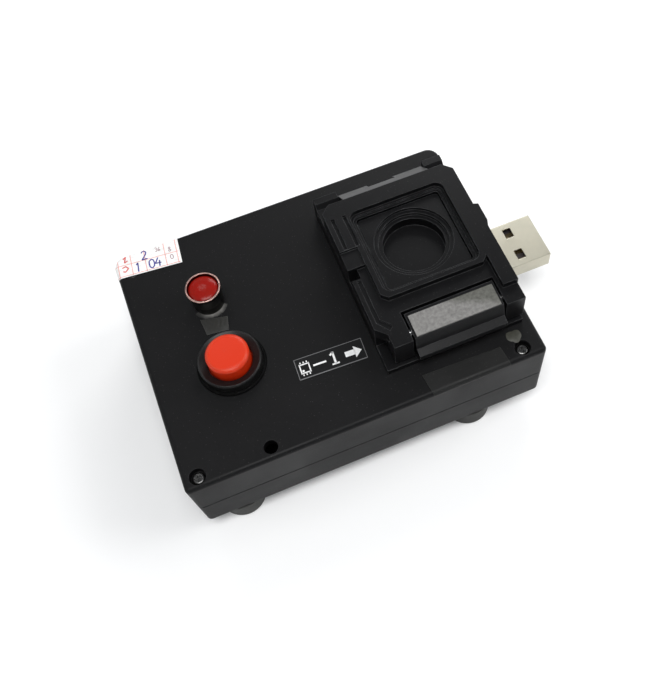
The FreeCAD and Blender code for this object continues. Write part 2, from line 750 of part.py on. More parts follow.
turned(cap, "cap",
       [("0", "-" + CAP_STEM_BOTTOM), ("dim.stem_radius", "-" + CAP_STEM_BOTTOM),
        ("dim.stem_radius", "-dim.cap_depth"), (CAP_FLANGE, "-dim.cap_depth"), (CAP_FLANGE, "-dim.fit_gap"),
        ("dim.cap_radius", "-dim.fit_gap"), ("dim.cap_radius", "dim.cap_rise - dim.cap_edge_radius"),
        ("dim.cap_radius - dim.cap_edge_radius", "dim.cap_rise"), ("0", "dim.cap_rise")])
button_spring = new_body("button_spring", x="dim.button_x", y="dim.button_y",
                         z="%s - %s + dim.switch_base_thickness" % (TOP, THREAD_BOTTOM))
coil(button_spring, "spring", "dim.button_spring_radius", "dim.button_spring_wire",
     "%s - dim.switch_base_thickness - dim.cap_depth" % THREAD_BOTTOM, "dim.spring_turns")
switch_base = new_body("button_switch_base", x="dim.button_x", y="dim.button_y",
                       z="%s - %s" % (TOP, THREAD_BOTTOM))
pad(switch_base, "disc", "XY_Plane", [circle("0", "0", FLANGE_BORE + " - dim.fit_gap")],
    "dim.switch_base_thickness")
terminals = new_body("button_terminals", x="dim.button_x - dim.terminal_spacing / 2", y="dim.button_y",
                     z="%s - %s - dim.terminal_length" % (TOP, THREAD_BOTTOM))
tag = pad(terminals, "tag", "XY_Plane",
          [rectangle("0", "0", "dim.terminal_thickness", "dim.terminal_width")], "dim.terminal_length")
repeat(terminals, "pair", tag, spacing_x="dim.terminal_spacing")

# Circuit board: it hangs from the socket's stem and carries the plug below it
board = new_body("main_board", z="%s - %s - dim.board_thickness" % (TOP, BOARD_TOP))
pad(board, "sheet", "XY_Plane",
    [[("dim.board_left_x", "-dim.board_half_width"), (BOARD_RIGHT, "-dim.board_half_width"),
      (BOARD_RIGHT, "dim.board_half_width"), ("dim.board_left_x", "dim.board_half_width")]],
    "dim.board_thickness")
pocket(board, "screw_holes", "XY_Plane",
       [circle("dim.socket_x %s dim.socket_screw_x" % side_x, side_y + "dim.socket_screw_y",
               "dim.socket_screw_radius + dim.screw_clearance") for side_x in "-+" for side_y in ("-", "")],
       "2 * dim.board_thickness", offset="dim.board_thickness")
controller = new_body("controller_chip", x="dim.controller_x", y="dim.controller_y",
                      z="%s - %s" % (TOP, BOARD_TOP))
pad(controller, "package", "XY_Plane", [rectangle("0", "0", "dim.controller_side", "dim.controller_side")],
    "dim.controller_thickness")
passives = new_body("board_passives", x="dim.board_left_x + dim.passive_length", z="%s - %s" % (TOP, BOARD_TOP))
pad(passives, "parts", "XY_Plane",
    [rectangle("dim.passive_pitch * %d" % column, "-dim.controller_side - dim.passive_pitch * %d" % line,
               "dim.passive_length", "dim.passive_width") for column in range(5) for line in range(3)],
    "dim.passive_width")

# USB-A plug: a folded steel shell, its plastic tongue and four contacts
shell = new_body("usb_plug_shell", x="%s - dim.plug_length" % PLUG_TIP, y="dim.plug_y", z=PLUG_CENTRE)
pad(shell, "tube", "YZ_Plane",
    [rectangle("0", "0", "dim.plug_width", "dim.plug_height"),
     rectangle("0", "0", "dim.plug_width - 2 * dim.plug_sheet", "dim.plug_height - 2 * dim.plug_sheet")],
    "dim.plug_length")


def long_outer_edge(edge):
    """The four long edges on the outside of the shell."""
    box = edge.BoundBox
    outside = abs(abs(box.Center.y) - value("dim.plug_width / 2")) < 1e-4
    return outside and abs(box.XLength - value("dim.plug_length")) < 1e-4


soften(shell, "folded_edges", "min(dim.plug_corner; dim.plug_sheet * 0.9)", long_outer_edge)
pocket(shell, "windows", "XY_Plane",
       [rectangle("dim.plug_length - dim.plug_window_reach", side + "dim.plug_window_spacing / 2",
                  "dim.plug_window_length", "dim.plug_window_width") for side in ("-", "")],
       "2 * dim.plug_height", both=True)
tongue = new_body("usb_plug_tongue", x="%s - dim.plug_length" % PLUG_TIP, y="dim.plug_y",
                  z="%s - dim.plug_height / 2 + dim.plug_sheet" % PLUG_CENTRE)
pad(tongue, "tongue", "XY_Plane",
    [rectangle("(dim.plug_length - dim.tongue_setback) / 2", "0", "dim.plug_length - dim.tongue_setback",
               "dim.plug_width - 2 * dim.plug_sheet - 2 * dim.tongue_side_gap")],
    "dim.tongue_thickness")
contacts = new_body("usb_contacts", x="%s - dim.plug_length" % PLUG_TIP, y="dim.plug_y",
                    z="%s - dim.plug_height / 2 + dim.plug_sheet + dim.tongue_thickness" % PLUG_CENTRE)
pad(contacts, "strips", "XY_Plane",
    [rectangle("(dim.plug_length - dim.tongue_setback) / 2", "dim.contact_pitch * %g" % place,
               "dim.plug_length - 4 * dim.tongue_setback", "dim.contact_width") for place in (-1.5, -0.5, 0.5, 1.5)],
    "dim.contact_thickness")

# Socket base: a flange on the cover, a stem down to the board, a stepped well
# for the nest and the pressure block, hinge ears behind and a catch in front
socket = new_body("socket_base", x="dim.socket_x", z=TOP)
for name, front, height in (("flange", "-" + HALF_WIDTH, "dim.flange_height"),
                            ("deck", "dim.deck_front_y", "dim.deck_height")):
    pad(socket, name, "XY_Plane",
        [[("-" + HALF_LENGTH, front), ("dim.base_right", front),
          ("dim.base_right", HALF_WIDTH), ("-" + HALF_LENGTH, HALF_WIDTH)]], height)
pad(socket, "stem", "XY_Plane", [rectangle("0", "0", "dim.stem_length", "dim.stem_width")],
    BOARD_TOP, down=True)
pad(socket, "catch", "YZ_Plane",
    [[("dim.deck_front_y + 0.5", "dim.catch_bottom"), ("dim.catch_nose_y", "dim.catch_bottom"),
      ("dim.catch_nose_y", "(dim.catch_bottom + dim.catch_top) / 2"),
      ("dim.catch_nose_y + dim.catch_bevel", "dim.catch_top"), ("dim.deck_front_y + 0.5", "dim.catch_top")]],
    "2 * dim.catch_half_length", offset="dim.latch_x", both=True)
for side, name, outer in (("-", "left_ear", HALF_LENGTH), ("", "right_ear", "dim.base_right")):
    pad(socket, name, "YZ_Plane",
        [[("dim.ear_front_y", "dim.deck_height - 1"), (HALF_WIDTH, "dim.deck_height - 1"),
          (HALF_WIDTH, "dim.ear_top"), ("dim.ear_front_y + dim.ear_corner", "dim.ear_top"),
          ("dim.ear_front_y", "dim.ear_top - dim.ear_corner")]],
        "%s - dim.ear_inner" % outer, offset="%s(dim.ear_inner + %s) / 2" % (side, outer), both=True)
pocket(socket, "knuckle_room", "XY_Plane",
       [rectangle("0", "(dim.knuckle_room_y + %s + 1) / 2" % HALF_WIDTH, "2 * dim.ear_inner",
                  "%s + 1 - dim.knuckle_room_y" % HALF_WIDTH)],
       "dim.ear_top - dim.knuckle_floor + 1", offset="dim.ear_top + 1")
pocket(socket, "hinge_bore", "YZ_Plane", [circle("dim.hinge_y", "dim.hinge_z", "dim.hinge_pin_radius")],
       "dim.socket_length + 2", both=True)
pocket(socket, "flange_well", "XY_Plane",
       [rectangle("0", "dim.chip_y", "dim.flange_well_length", "dim.flange_well_width")],
       "dim.deck_height - dim.flange_well_floor", offset="dim.deck_height")
pocket(socket, "nest_well", "XY_Plane",
       [rectangle("0", "dim.chip_y", "dim.nest_well_side", "dim.nest_well_side")],
       "dim.deck_height - dim.nest_well_floor", offset="dim.deck_height")
pocket(socket, "probe_window", "XY_Plane",
       [rectangle("0", "dim.chip_y", "dim.probe_window", "dim.probe_window")],
       "dim.deck_height + %s + 1" % BOARD_TOP, offset="dim.deck_height")
pocket(socket, "retainer_seat", "XY_Plane",
       [rectangle("0", "dim.chip_y", "dim.retainer_side + 2 * dim.fit_gap", "dim.retainer_side + 2 * dim.fit_gap")],
       "dim.retainer_thickness", offset="-" + BOARD_TOP, up=True)
pocket(socket, "screw_bores", "XY_Plane",
       [circle(side_x + "dim.socket_screw_x", side_y + "dim.socket_screw_y",
               "dim.socket_screw_radius + dim.thread_fit") for side_x in ("-", "") for side_y in ("-", "")],
       "dim.socket_screw_length + dim.bore_spare - dim.board_thickness", offset="-" + BOARD_TOP, up=True)
NEST_SPRING_SPREAD = "(%s / 2 - dim.nest_spring_inset)" % NEST_SIDE
NEST_UNDER = "(dim.nest_bottom - dim.guide_thickness)"
pocket(socket, "nest_screw_bores", "XY_Plane",
       [circle(side + NEST_SCREW_X, "dim.chip_y", "dim.nest_screw_radius + dim.thread_fit")
        for side in ("-", "")], "dim.nest_screw_length", offset="dim.nest_well_floor")
pocket(socket, "nest_spring_wells", "XY_Plane",
       [circle(side_x + NEST_SPRING_SPREAD, "dim.chip_y %s %s" % (side_y, NEST_SPRING_SPREAD),
               "dim.nest_spring_radius + dim.nest_spring_room") for side_x in ("-", "") for side_y in "-+"],
       "dim.nest_spring_depth", offset="dim.nest_well_floor")
nest_springs = new_body("nest_springs", x="dim.socket_x - " + NEST_SPRING_SPREAD,
                        y="dim.chip_y - " + NEST_SPRING_SPREAD,
                        z="%s + dim.nest_well_floor - dim.nest_spring_depth" % TOP)
nest_spring = coil(nest_springs, "spring", "dim.nest_spring_radius", "dim.nest_spring_wire",
                   "%s - dim.nest_well_floor + dim.nest_spring_depth" % NEST_UNDER, "dim.spring_turns - 2")
repeat(nest_springs, "corners", nest_spring, "2 * " + NEST_SPRING_SPREAD, "2 * " + NEST_SPRING_SPREAD)
socket_screws = new_body("socket_screws", x="dim.socket_x - dim.socket_screw_x", y="-dim.socket_screw_y",
                         z="%s - %s - dim.board_thickness" % (TOP, BOARD_TOP))
socket_screw = turned(socket_screws, "screw",
                      [("0", "-dim.screw_head_height"),
                       ("dim.socket_screw_head_radius * 0.7", "-dim.screw_head_height"),
                       ("dim.socket_screw_head_radius", "-dim.screw_head_height * 0.4"),
                       ("dim.socket_screw_head_radius", "0"), ("dim.socket_screw_radius", "0"),
                       ("dim.socket_screw_radius", "dim.socket_screw_length"), ("0", "dim.socket_screw_length")])
repeat(socket_screws, "corners", socket_screw, "2 * dim.socket_screw_x", "2 * dim.socket_screw_y")

# Probes: plungers in barrels, held by a drilled plate at the stem's foot
PROBE_X = "dim.socket_x"
PROBE_Y = "dim.chip_y"
retainer = new_body("probe_retainer", x=PROBE_X, y=PROBE_Y, z="%s - %s" % (TOP, BOARD_TOP))
pad(retainer, "plate", "XY_Plane", [rectangle("0", "0", "dim.retainer_side", "dim.retainer_side")],
    "dim.retainer_thickness - dim.fit_gap")
pocket(retainer, "barrel_holes", "XY_Plane", ball_circles("dim.barrel_radius + dim.probe_fit"),
       "2 * dim.retainer_thickness", offset="dim.retainer_thickness")
barrels = new_body("probe_barrels", x=PROBE_X, y=PROBE_Y, z="%s - %s" % (TOP, BOARD_TOP))
pad(barrels, "tubes", "XY_Plane", ball_circles("dim.barrel_radius"), "dim.barrel_top + %s" % BOARD_TOP)
pocket(barrels, "bores", "XY_Plane", ball_circles("dim.plunger_radius + dim.probe_fit"),
       "dim.barrel_bore_depth", offset="dim.barrel_top + %s" % BOARD_TOP)
plungers = new_body("probe_plungers", x=PROBE_X, y=PROBE_Y, z="%s + dim.barrel_top - dim.plunger_tail" % TOP)
pad(plungers, "tips", "XY_Plane", ball_circles("dim.plunger_radius"),
    "dim.plunger_top - dim.barrel_top + dim.plunger_tail")

# Floating nest: a frame that centres the chip over a drilled guide plate
frame = new_body("nest_frame", x=PROBE_X, y=PROBE_Y, z="%s + dim.nest_bottom" % TOP)
pad(frame, "frame", "XY_Plane", [rectangle("0", "0", NEST_SIDE, NEST_SIDE)],
    "dim.nest_top - dim.nest_bottom")
pocket(frame, "chip_pocket", "XY_Plane",
       [rectangle("0", "0", "dim.chip_length + 2 * dim.chip_gap", "dim.chip_width + 2 * dim.chip_gap")],
       "2 * (dim.nest_top - dim.nest_bottom)", offset="dim.nest_top")


def pocket_mouth_edge(edge):
    """The four upper edges of the chip pocket."""
    box = edge.BoundBox
    high = box.ZMin > value("dim.nest_top - dim.nest_bottom") - 1e-4
    reach = max(abs(box.Center.x), abs(box.Center.y))
    return high and reach < value(NEST_SIDE + " / 2") - 1


soften(frame, "lead_in", "(dim.nest_top - dim.nest_bottom) / 3", pocket_mouth_edge, "Chamfer")
guide = new_body("guide_plate", x=PROBE_X, y=PROBE_Y, z="%s + dim.nest_bottom - dim.guide_thickness" % TOP)
GUIDE_SIDE = "(%s - 2 * dim.guide_setback)" % NEST_SIDE
pad(guide, "plate", "XY_Plane", [rectangle("0", "0", GUIDE_SIDE, GUIDE_SIDE)], "dim.guide_thickness")
pocket(guide, "tip_holes", "XY_Plane", ball_circles("dim.plunger_radius + dim.probe_fit"),
       "2 * dim.guide_thickness", offset="dim.guide_thickness")

# Two shoulder screws let the nest sink but hold it down
NEST_SEAT = "(dim.nest_top - dim.nest_bottom - dim.nest_screw_head_height)"
pocket(frame, "screw_seats", "XY_Plane",
       [circle(side + NEST_SCREW_X, "0", "dim.nest_screw_head_radius + dim.screw_clearance")
        for side in ("-", "")], "dim.nest_screw_head_height", offset="dim.nest_top - dim.nest_bottom")
for piece, thickness in ((frame, "dim.nest_top"), (guide, "dim.guide_thickness")):
    pocket(piece, "screw_holes", "XY_Plane",
           [circle(side + NEST_SCREW_X, "0", "dim.nest_screw_radius + dim.screw_clearance")
            for side in ("-", "")], "2 * " + thickness, offset=thickness)
nest_screws = new_body("nest_screws", x="dim.socket_x - " + NEST_SCREW_X, y=PROBE_Y,
                       z="%s + dim.nest_bottom + %s" % (TOP, NEST_SEAT))
nest_screw = turned(nest_screws, "screw",
                    [("0", "-dim.nest_screw_length"), ("dim.nest_screw_radius", "-dim.nest_screw_length"),
                     ("dim.nest_screw_radius", "0"), ("dim.nest_screw_head_radius", "0"),
                     ("dim.nest_screw_head_radius", "dim.nest_screw_head_height"),
                     ("0", "dim.nest_screw_head_height")])
repeat(nest_screws, "pair", nest_screw, spacing_x="2 * " + NEST_SCREW_X)

# Socket lid: a stepped window frame with a raised rim, a side flange with two
# grooves, arms that hold the latch and a knuckle on the hinge pin
LEFT = "-" + HALF_LENGTH
lid = new_body("socket_lid", x="dim.socket_x", z=TOP)
SLOT_LEFT = "dim.latch_x - dim.arm_inner"
SLOT_RIGHT = "dim.latch_x + dim.arm_inner"
pad(lid, "plate", "XY_Plane",
    [[(SLOT_LEFT, "dim.latch_slot_y"), (SLOT_LEFT, "dim.lid_corner_y"),
      ("dim.latch_x - dim.arm_outer", "dim.lid_corner_y"), (LEFT, "dim.lid_shoulder_y"),
      (LEFT, "dim.lid_notch_front_y"), (LEFT + " + dim.lid_notch_depth", "dim.lid_notch_front_y"),
      (LEFT + " + dim.lid_notch_depth", "dim.lid_notch_rear_y"), (LEFT, "dim.lid_notch_rear_y"),
      (LEFT, "dim.lid_rear_y - dim.lid_corner_cut"), (LEFT + " + dim.lid_corner_cut", "dim.lid_rear_y"),
      ("dim.lid_right_rear - dim.lid_corner_cut", "dim.lid_rear_y"),
      ("dim.lid_right_rear", "dim.lid_rear_y - dim.lid_corner_cut"),
      ("dim.lid_right_rear", "dim.lid_step_rear_y"), ("dim.lid_right_step", "dim.lid_step_rear_y - dim.lid_step_slope"),
      ("dim.lid_right_step", "dim.lid_step_front_y"), ("dim.lid_right_front", "dim.lid_step_front_y - dim.lid_front_slope"),
      ("dim.lid_right_front", "dim.lid_right_shoulder_y"), (SLOT_RIGHT, "dim.lid_right_shoulder_y"),
      (SLOT_RIGHT, "dim.latch_slot_y")]],
    "dim.lid_top - %s" % LID_UNDER, offset=LID_UNDER)
ARM_MIDDLE = "((dim.arm_inner + dim.arm_outer) / 2)"
for side, name in (("-", "left_arm"), ("+", "right_arm")):
    pad(lid, name, "YZ_Plane",
        [[("dim.lid_shoulder_y + 0.5", "dim.lid_floor"), ("dim.arm_front_y", "dim.lid_floor"),
          ("dim.arm_front_y", "dim.arm_bottom"), ("dim.deck_front_y - 0.5", "dim.arm_bottom"),
          ("dim.deck_front_y - 0.5", LID_UNDER), ("dim.lid_shoulder_y + 0.5", LID_UNDER)]],
        "dim.arm_outer - dim.arm_inner", offset="dim.latch_x " + side + ARM_MIDDLE, both=True)
pad(lid, "knuckle", "YZ_Plane",
    [[("dim.lid_rear_y - 1", LID_UNDER), ("dim.knuckle_room_y + dim.knuckle_gap", LID_UNDER),
      ("dim.hinge_y - dim.knuckle_radius", "dim.hinge_z + 1"),
      ("dim.hinge_y - dim.knuckle_radius", "dim.hinge_z - 1"),
      ("dim.hinge_y - 1", "dim.hinge_z - dim.knuckle_radius"),
      ("dim.hinge_y + 1", "dim.hinge_z - dim.knuckle_radius"),
      ("dim.hinge_y + dim.knuckle_radius", "dim.hinge_z - 1"),
      ("dim.hinge_y + dim.knuckle_radius", "dim.hinge_z + 1"),
      ("dim.hinge_y + 1", "dim.hinge_z + dim.knuckle_radius"), ("dim.lid_rear_y", "dim.lid_top - 0.5"),
      ("dim.lid_rear_y - 1", "dim.lid_top - 0.5")]],
    "2 * (dim.ear_inner - dim.knuckle_gap)", both=True)
pocket(lid, "hinge_bore", "YZ_Plane",
       [circle("dim.hinge_y", "dim.hinge_z", "dim.hinge_pin_radius + dim.pin_clearance")],
       "dim.socket_length", both=True)
pocket(lid, "spring_slot", "YZ_Plane",
       [circle("dim.hinge_y", "dim.hinge_z", "dim.knuckle_radius + dim.hinge_slot_gap")], "dim.hinge_slot_length", both=True)
pocket(lid, "latch_bore", "YZ_Plane",
       [circle("dim.latch_pin_y", "dim.latch_pin_z", "dim.latch_pin_radius")], "dim.socket_length + 2", both=True)
RIM_OUT = "(dim.window_side / 2 + dim.rim_width)"
RIM_FRONT = "(dim.chip_y - %s)" % RIM_OUT
LEFT_OPEN = LEFT + " - 1"
FRONT_OPEN = "dim.lid_corner_y - 1"
pocket(lid, "front_recess", "XY_Plane",
       [[(LEFT_OPEN, FRONT_OPEN), (RIM_OUT, FRONT_OPEN), (RIM_OUT, RIM_FRONT + " + dim.rim_corner"),
         (RIM_OUT + " - dim.rim_corner", RIM_FRONT), ("dim.rim_corner - " + RIM_OUT, RIM_FRONT),
         ("-" + RIM_OUT, RIM_FRONT + " + dim.rim_corner"), ("-" + RIM_OUT, "dim.lid_notch_rear_y"),
         (LEFT_OPEN, "dim.lid_notch_rear_y")]],
       "dim.lid_top - dim.lid_floor", offset="dim.lid_top")
CHANNEL_LEFT = "%s + dim.channel_left_inset" % LEFT
CHANNEL_RIGHT = "%s + dim.channel_right_inset" % LEFT
CHANNEL_WIDTH = "(dim.channel_right_inset - dim.channel_left_inset)"
CHANNEL_REAR = "dim.lid_notch_front_y - dim.channel_end_gap"
CHANNEL_BEND = "dim.lid_shoulder_y + dim.channel_bend"
CHANNEL_FRONT = "dim.lid_corner_y + dim.channel_front_gap"
pocket(lid, "left_channel", "XY_Plane",
       [[(CHANNEL_LEFT, CHANNEL_REAR), (CHANNEL_LEFT, CHANNEL_BEND),
         (CHANNEL_LEFT + " + dim.channel_toe", CHANNEL_FRONT),
         (CHANNEL_RIGHT + " + dim.channel_toe", CHANNEL_FRONT + " + " + CHANNEL_WIDTH),
         (CHANNEL_RIGHT, CHANNEL_BEND + " + " + CHANNEL_WIDTH + " / 2"), (CHANNEL_RIGHT, CHANNEL_REAR)]],
       "dim.channel_depth", offset="dim.lid_floor")
STEP_SIDES = ["(dim.window_side - 2 * dim.window_step * %d)" % step for step in range(3)]
STEP_DEPTHS = ("dim.window_first_depth", "dim.window_second_depth", "dim.lid_top")
for step, depth in enumerate(STEP_DEPTHS):
    pocket(lid, "window_%d" % step, "XY_Plane",
           [rectangle("0", "dim.chip_y", STEP_SIDES[step], STEP_SIDES[step])], depth, offset="dim.lid_top")
for step in (2, 1, 0):
    soften(lid, "window_corners_%d" % step, "dim.window_corner - dim.window_step * %d" % step,
           upright_at(STEP_SIDES[step] + " / 2", STEP_SIDES[step] + " / 2", "dim.chip_y"))
GROOVE_MIDDLE = "(dim.groove_rear_y + dim.groove_front_y) / 2"
pocket(lid, "grooves", "XY_Plane",
       [rectangle("%s + %g * dim.groove_width" % (LEFT, place), GROOVE_MIDDLE, "dim.groove_width",
                  "dim.groove_rear_y - dim.groove_front_y") for place in (1.9, 5.2)],
       "dim.groove_depth", offset="dim.lid_top")
pocket(lid, "side_pad", "XY_Plane",
       [[(LEFT_OPEN, "dim.lid_notch_rear_y - dim.pad_reach"), ("-" + RIM_OUT, "dim.lid_notch_rear_y - dim.pad_reach"),
         ("-" + RIM_OUT, "dim.groove_front_y - dim.pad_gap"), (LEFT_OPEN, "dim.groove_front_y - dim.pad_gap")]],
       "dim.pad_depth", offset="dim.lid_top")
SPRING_WELL_DEPTH = "(dim.pressure_spring_height - (%s - dim.block_flange_bottom - dim.block_flange_thickness))"
SPRING_WELL_DEPTH = SPRING_WELL_DEPTH % LID_UNDER
pocket(lid, "spring_wells", "XY_Plane",
       [circle(side_x + GUIDE_X, "dim.chip_y %s dim.pressure_spring_y" % side_y,
               "dim.pressure_spring_well") for side_x in ("-", "") for side_y in "-+"],
       SPRING_WELL_DEPTH, offset=LID_UNDER, up=True)
pocket(lid, "guide_bores", "XY_Plane",
       [circle(side + GUIDE_X, "dim.chip_y", "dim.guide_screw_radius + dim.thread_fit")
        for side in ("-", "")],
       "dim.block_flange_bottom + dim.guide_screw_length - %s + dim.bore_spare / 2" % LID_UNDER, offset=LID_UNDER, up=True)

# Pressure block: it floats in the lid's window on two guide screws and four
# springs, and its foot presses the chip onto the probes
block = new_body("pressure_block", x="dim.socket_x", y="dim.chip_y", z=TOP)
BLOCK_SIDE = "(dim.window_side - 4 * dim.window_step - 2 * dim.block_gap)"
pad(block, "flange", "XY_Plane",
    [rectangle("0", "0", FLANGE_LENGTH, "dim.flange_well_width - 2 * dim.block_flange_side_gap")],
    "dim.block_flange_thickness", offset="dim.block_flange_bottom")
pad(block, "block", "XY_Plane", [rectangle("0", "0", BLOCK_SIDE, BLOCK_SIDE)],
    "dim.block_floor - dim.block_flange_bottom", offset="dim.block_flange_bottom")
soften(block, "corners", "dim.window_corner - 2 * dim.window_step",
       upright_at(BLOCK_SIDE + " / 2", BLOCK_SIDE + " / 2"))
pad(block, "foot", "XY_Plane", [rectangle("0", "0", "dim.foot_pad_length", "dim.foot_pad_width")],
    "dim.block_flange_bottom - dim.foot_pad_bottom + 0.5", offset="dim.foot_pad_bottom")
bored(block, "dial_recess",
      [("0", "dim.dial_floor"), ("dim.dial_radius - 2 * dim.dial_step", "dim.dial_floor"),
       ("dim.dial_radius - 2 * dim.dial_step", "dim.block_floor - 2 * dim.dial_step_depth"),
       ("dim.dial_radius - dim.dial_step", "dim.block_floor - 2 * dim.dial_step_depth"),
       ("dim.dial_radius - dim.dial_step", "dim.block_floor - dim.dial_step_depth"),
       ("dim.dial_radius", "dim.block_floor - dim.dial_step_depth"), ("dim.dial_radius", "dim.block_floor + 1"),
       ("0", "dim.block_floor + 1")])
pocket(block, "guide_holes", "XY_Plane",
       [circle(side + GUIDE_X, "0", "dim.guide_screw_radius + dim.screw_clearance")
        for side in ("-", "")],
       "2 * dim.block_flange_thickness", offset="dim.block_flange_bottom + dim.block_flange_thickness")
guide_screws = new_body("guide_screws", x="dim.socket_x - " + GUIDE_X, y="dim.chip_y",
                        z="%s + dim.block_flange_bottom" % TOP)
guide_screw = turned(guide_screws, "screw",
                     [("0", "-dim.guide_head_height"), ("dim.guide_head_radius", "-dim.guide_head_height"),
                      ("dim.guide_head_radius", "0"), ("dim.guide_screw_radius", "0"),
                      ("dim.guide_screw_radius", "dim.guide_screw_length"), ("0", "dim.guide_screw_length")])
repeat(guide_screws, "pair", guide_screw, spacing_x="2 * " + GUIDE_X)
pressure_springs = new_body("pressure_springs", x="dim.socket_x - " + GUIDE_X,
                            y="dim.chip_y - dim.pressure_spring_y",
                            z="%s + dim.block_flange_bottom + dim.block_flange_thickness" % TOP)
pressure_spring = coil(pressure_springs, "spring", "dim.pressure_spring_radius", "dim.pressure_spring_wire",
                       "dim.pressure_spring_height", "dim.spring_turns - 1")
repeat(pressure_springs, "corners", pressure_spring, "2 * " + GUIDE_X, "2 * dim.pressure_spring_y")

# Hinge pin, latch pin and latch
hinge_pin = new_body("hinge_pin", x="dim.socket_x", y="dim.hinge_y", z="%s + dim.hinge_z" % TOP)
pad(hinge_pin, "pin", "YZ_Plane", [circle("0", "0", "dim.hinge_pin_radius - dim.thread_fit")],
    "2 * (dim.base_right - dim.pin_end_gap)", both=True)
LATCH_X = "dim.socket_x + dim.latch_x"
latch_pin = new_body("latch_pin", x=LATCH_X, y="dim.latch_pin_y", z="%s + dim.latch_pin_z" % TOP)
pad(latch_pin, "pin", "YZ_Plane", [circle("0", "0", "dim.latch_pin_radius - dim.thread_fit")],
    "2 * (dim.arm_outer - dim.pin_end_gap)", both=True)
latch = new_body("latch", x=LATCH_X, z=TOP)
pad(latch, "lever", "YZ_Plane",
    [[("dim.latch_rear_y", "dim.latch_rear_top"), ("dim.latch_front_y", "dim.latch_front_top"),
      ("dim.latch_front_y - 0.8", "dim.lip_top + 0.5"), ("dim.lip_y + 0.1", "dim.lip_top"),
      ("dim.lip_y", "dim.lip_bottom"), ("dim.latch_front_y - 0.9", "dim.hook_top"),
      ("dim.latch_front_y - 0.2", "dim.hook_bottom"), ("dim.hook_toe_y - 0.4", "dim.hook_bottom"),
      ("dim.hook_toe_y", "dim.hook_top - 0.2"), ("dim.hook_toe_y", "dim.hook_top"),
      ("dim.catch_nose_y - 0.9", "dim.hook_top + 0.1"), ("dim.catch_nose_y - 1.3", "dim.catch_top"),
      ("dim.latch_pin_y - 0.6", "dim.latch_pin_z - 1.35"), ("dim.latch_pin_y + 1.2", "dim.latch_pin_z - 0.8"),
      ("dim.latch_pin_y + 1.5", "dim.latch_pin_z + 0.7"), ("dim.latch_rear_y", "dim.latch_rear_top - 1.2")]],
    "2 * (dim.arm_inner - dim.latch_gap)", both=True)
pocket(latch, "pin_bore", "YZ_Plane",
       [circle("dim.latch_pin_y", "dim.latch_pin_z", "dim.latch_pin_radius + dim.pin_clearance - dim.thread_fit")],
       "3 * dim.arm_outer", both=True)

pocket(latch, "spring_slot", "YZ_Plane",
       [[("dim.latch_pin_y - dim.latch_slot_front", "dim.latch_pin_z - dim.latch_slot_under"),
         ("dim.latch_rear_y + dim.latch_slot_rear", "dim.latch_pin_z - dim.latch_slot_under"),
         ("dim.latch_rear_y + dim.latch_slot_rear", "dim.latch_pin_z + dim.latch_slot_over"),
         ("dim.latch_pin_y - dim.latch_slot_front", "dim.latch_pin_z + dim.latch_slot_over")]],
       "dim.latch_slot_length", both=True)
plate = new_body("latch_plate", x=LATCH_X, z=TOP)
PLATE_SLOPE = "((dim.latch_rear_top - dim.latch_front_top) / (dim.latch_rear_y - dim.latch_front_y))"
PLATE_REAR = "(dim.latch_rear_y - dim.plate_rear_gap)"
PLATE_FRONT = "(dim.latch_front_y + dim.plate_front_gap)"
PLATE_REAR_Z = "(dim.latch_rear_top - dim.plate_rear_gap * %s)" % PLATE_SLOPE
PLATE_FRONT_Z = "(dim.latch_front_top + dim.plate_front_gap * %s)" % PLATE_SLOPE
pad(plate, "plate", "YZ_Plane",
    [[(PLATE_REAR, PLATE_REAR_Z), (PLATE_FRONT, PLATE_FRONT_Z),
      (PLATE_FRONT, PLATE_FRONT_Z + " + dim.plate_thickness"), (PLATE_REAR, PLATE_REAR_Z + " + dim.plate_thickness")]],
    "2 * (dim.arm_inner - dim.latch_gap - dim.plate_end_gap)", both=True)

# Two wound springs: one opens the lid, the other closes the latch. Each has a
# straight leg at both ends
hinge_spring = new_body("hinge_spring", x="dim.socket_x - dim.hinge_spring_length / 2", y="dim.hinge_y",
                        z="%s + dim.hinge_z" % TOP)
coil(hinge_spring, "coil", "-dim.hinge_spring_radius", "dim.hinge_spring_wire", "dim.hinge_spring_length",
     "dim.spring_turns - 0.5", along="H_Axis")
LAST_TURN = "dim.hinge_spring_length - dim.hinge_spring_wire"
pad(hinge_spring, "lower_leg", "XZ_Plane",
    [circle("dim.hinge_spring_wire", "-dim.hinge_spring_radius", "dim.hinge_spring_wire")],
    "dim.hinge_spring_lower_leg")
pad(hinge_spring, "upper_leg", "XZ_Plane",
    [circle(LAST_TURN, "dim.hinge_spring_radius", "dim.hinge_spring_wire")], "dim.hinge_spring_upper_leg")
latch_spring = new_body("latch_spring", x=LATCH_X + " - dim.latch_spring_length / 2", y="dim.latch_pin_y",
                        z="%s + dim.latch_pin_z" % TOP)
coil(latch_spring, "coil", "dim.latch_spring_radius", "dim.latch_spring_wire", "dim.latch_spring_length",
     "dim.spring_turns - 0.5", along="H_Axis")
LAST_TURN = "dim.latch_spring_length - dim.latch_spring_wire"
pad(latch_spring, "upper_leg", "XZ_Plane",
    [circle("dim.latch_spring_wire", "dim.latch_spring_radius", "dim.latch_spring_wire")],
    "dim.latch_spring_upper_leg", down=True)
pad(latch_spring, "lower_leg", "XZ_Plane",
    [circle(LAST_TURN, "-dim.latch_spring_radius", "dim.latch_spring_wire")],
    "dim.latch_slot_y - dim.latch_pin_y - dim.latch_spring_wire", down=True)

doc.recompute()
for item in doc.Objects:
    if "Invalid" in item.State or "Error" in item.State:
        raise RuntimeError("%s has failed: %s" % (item.Label, item.State))
for node in nodes:
    if node.Shape.isNull() or not node.Shape.isValid():
        raise RuntimeError("%s has no valid shape" % node.Label)

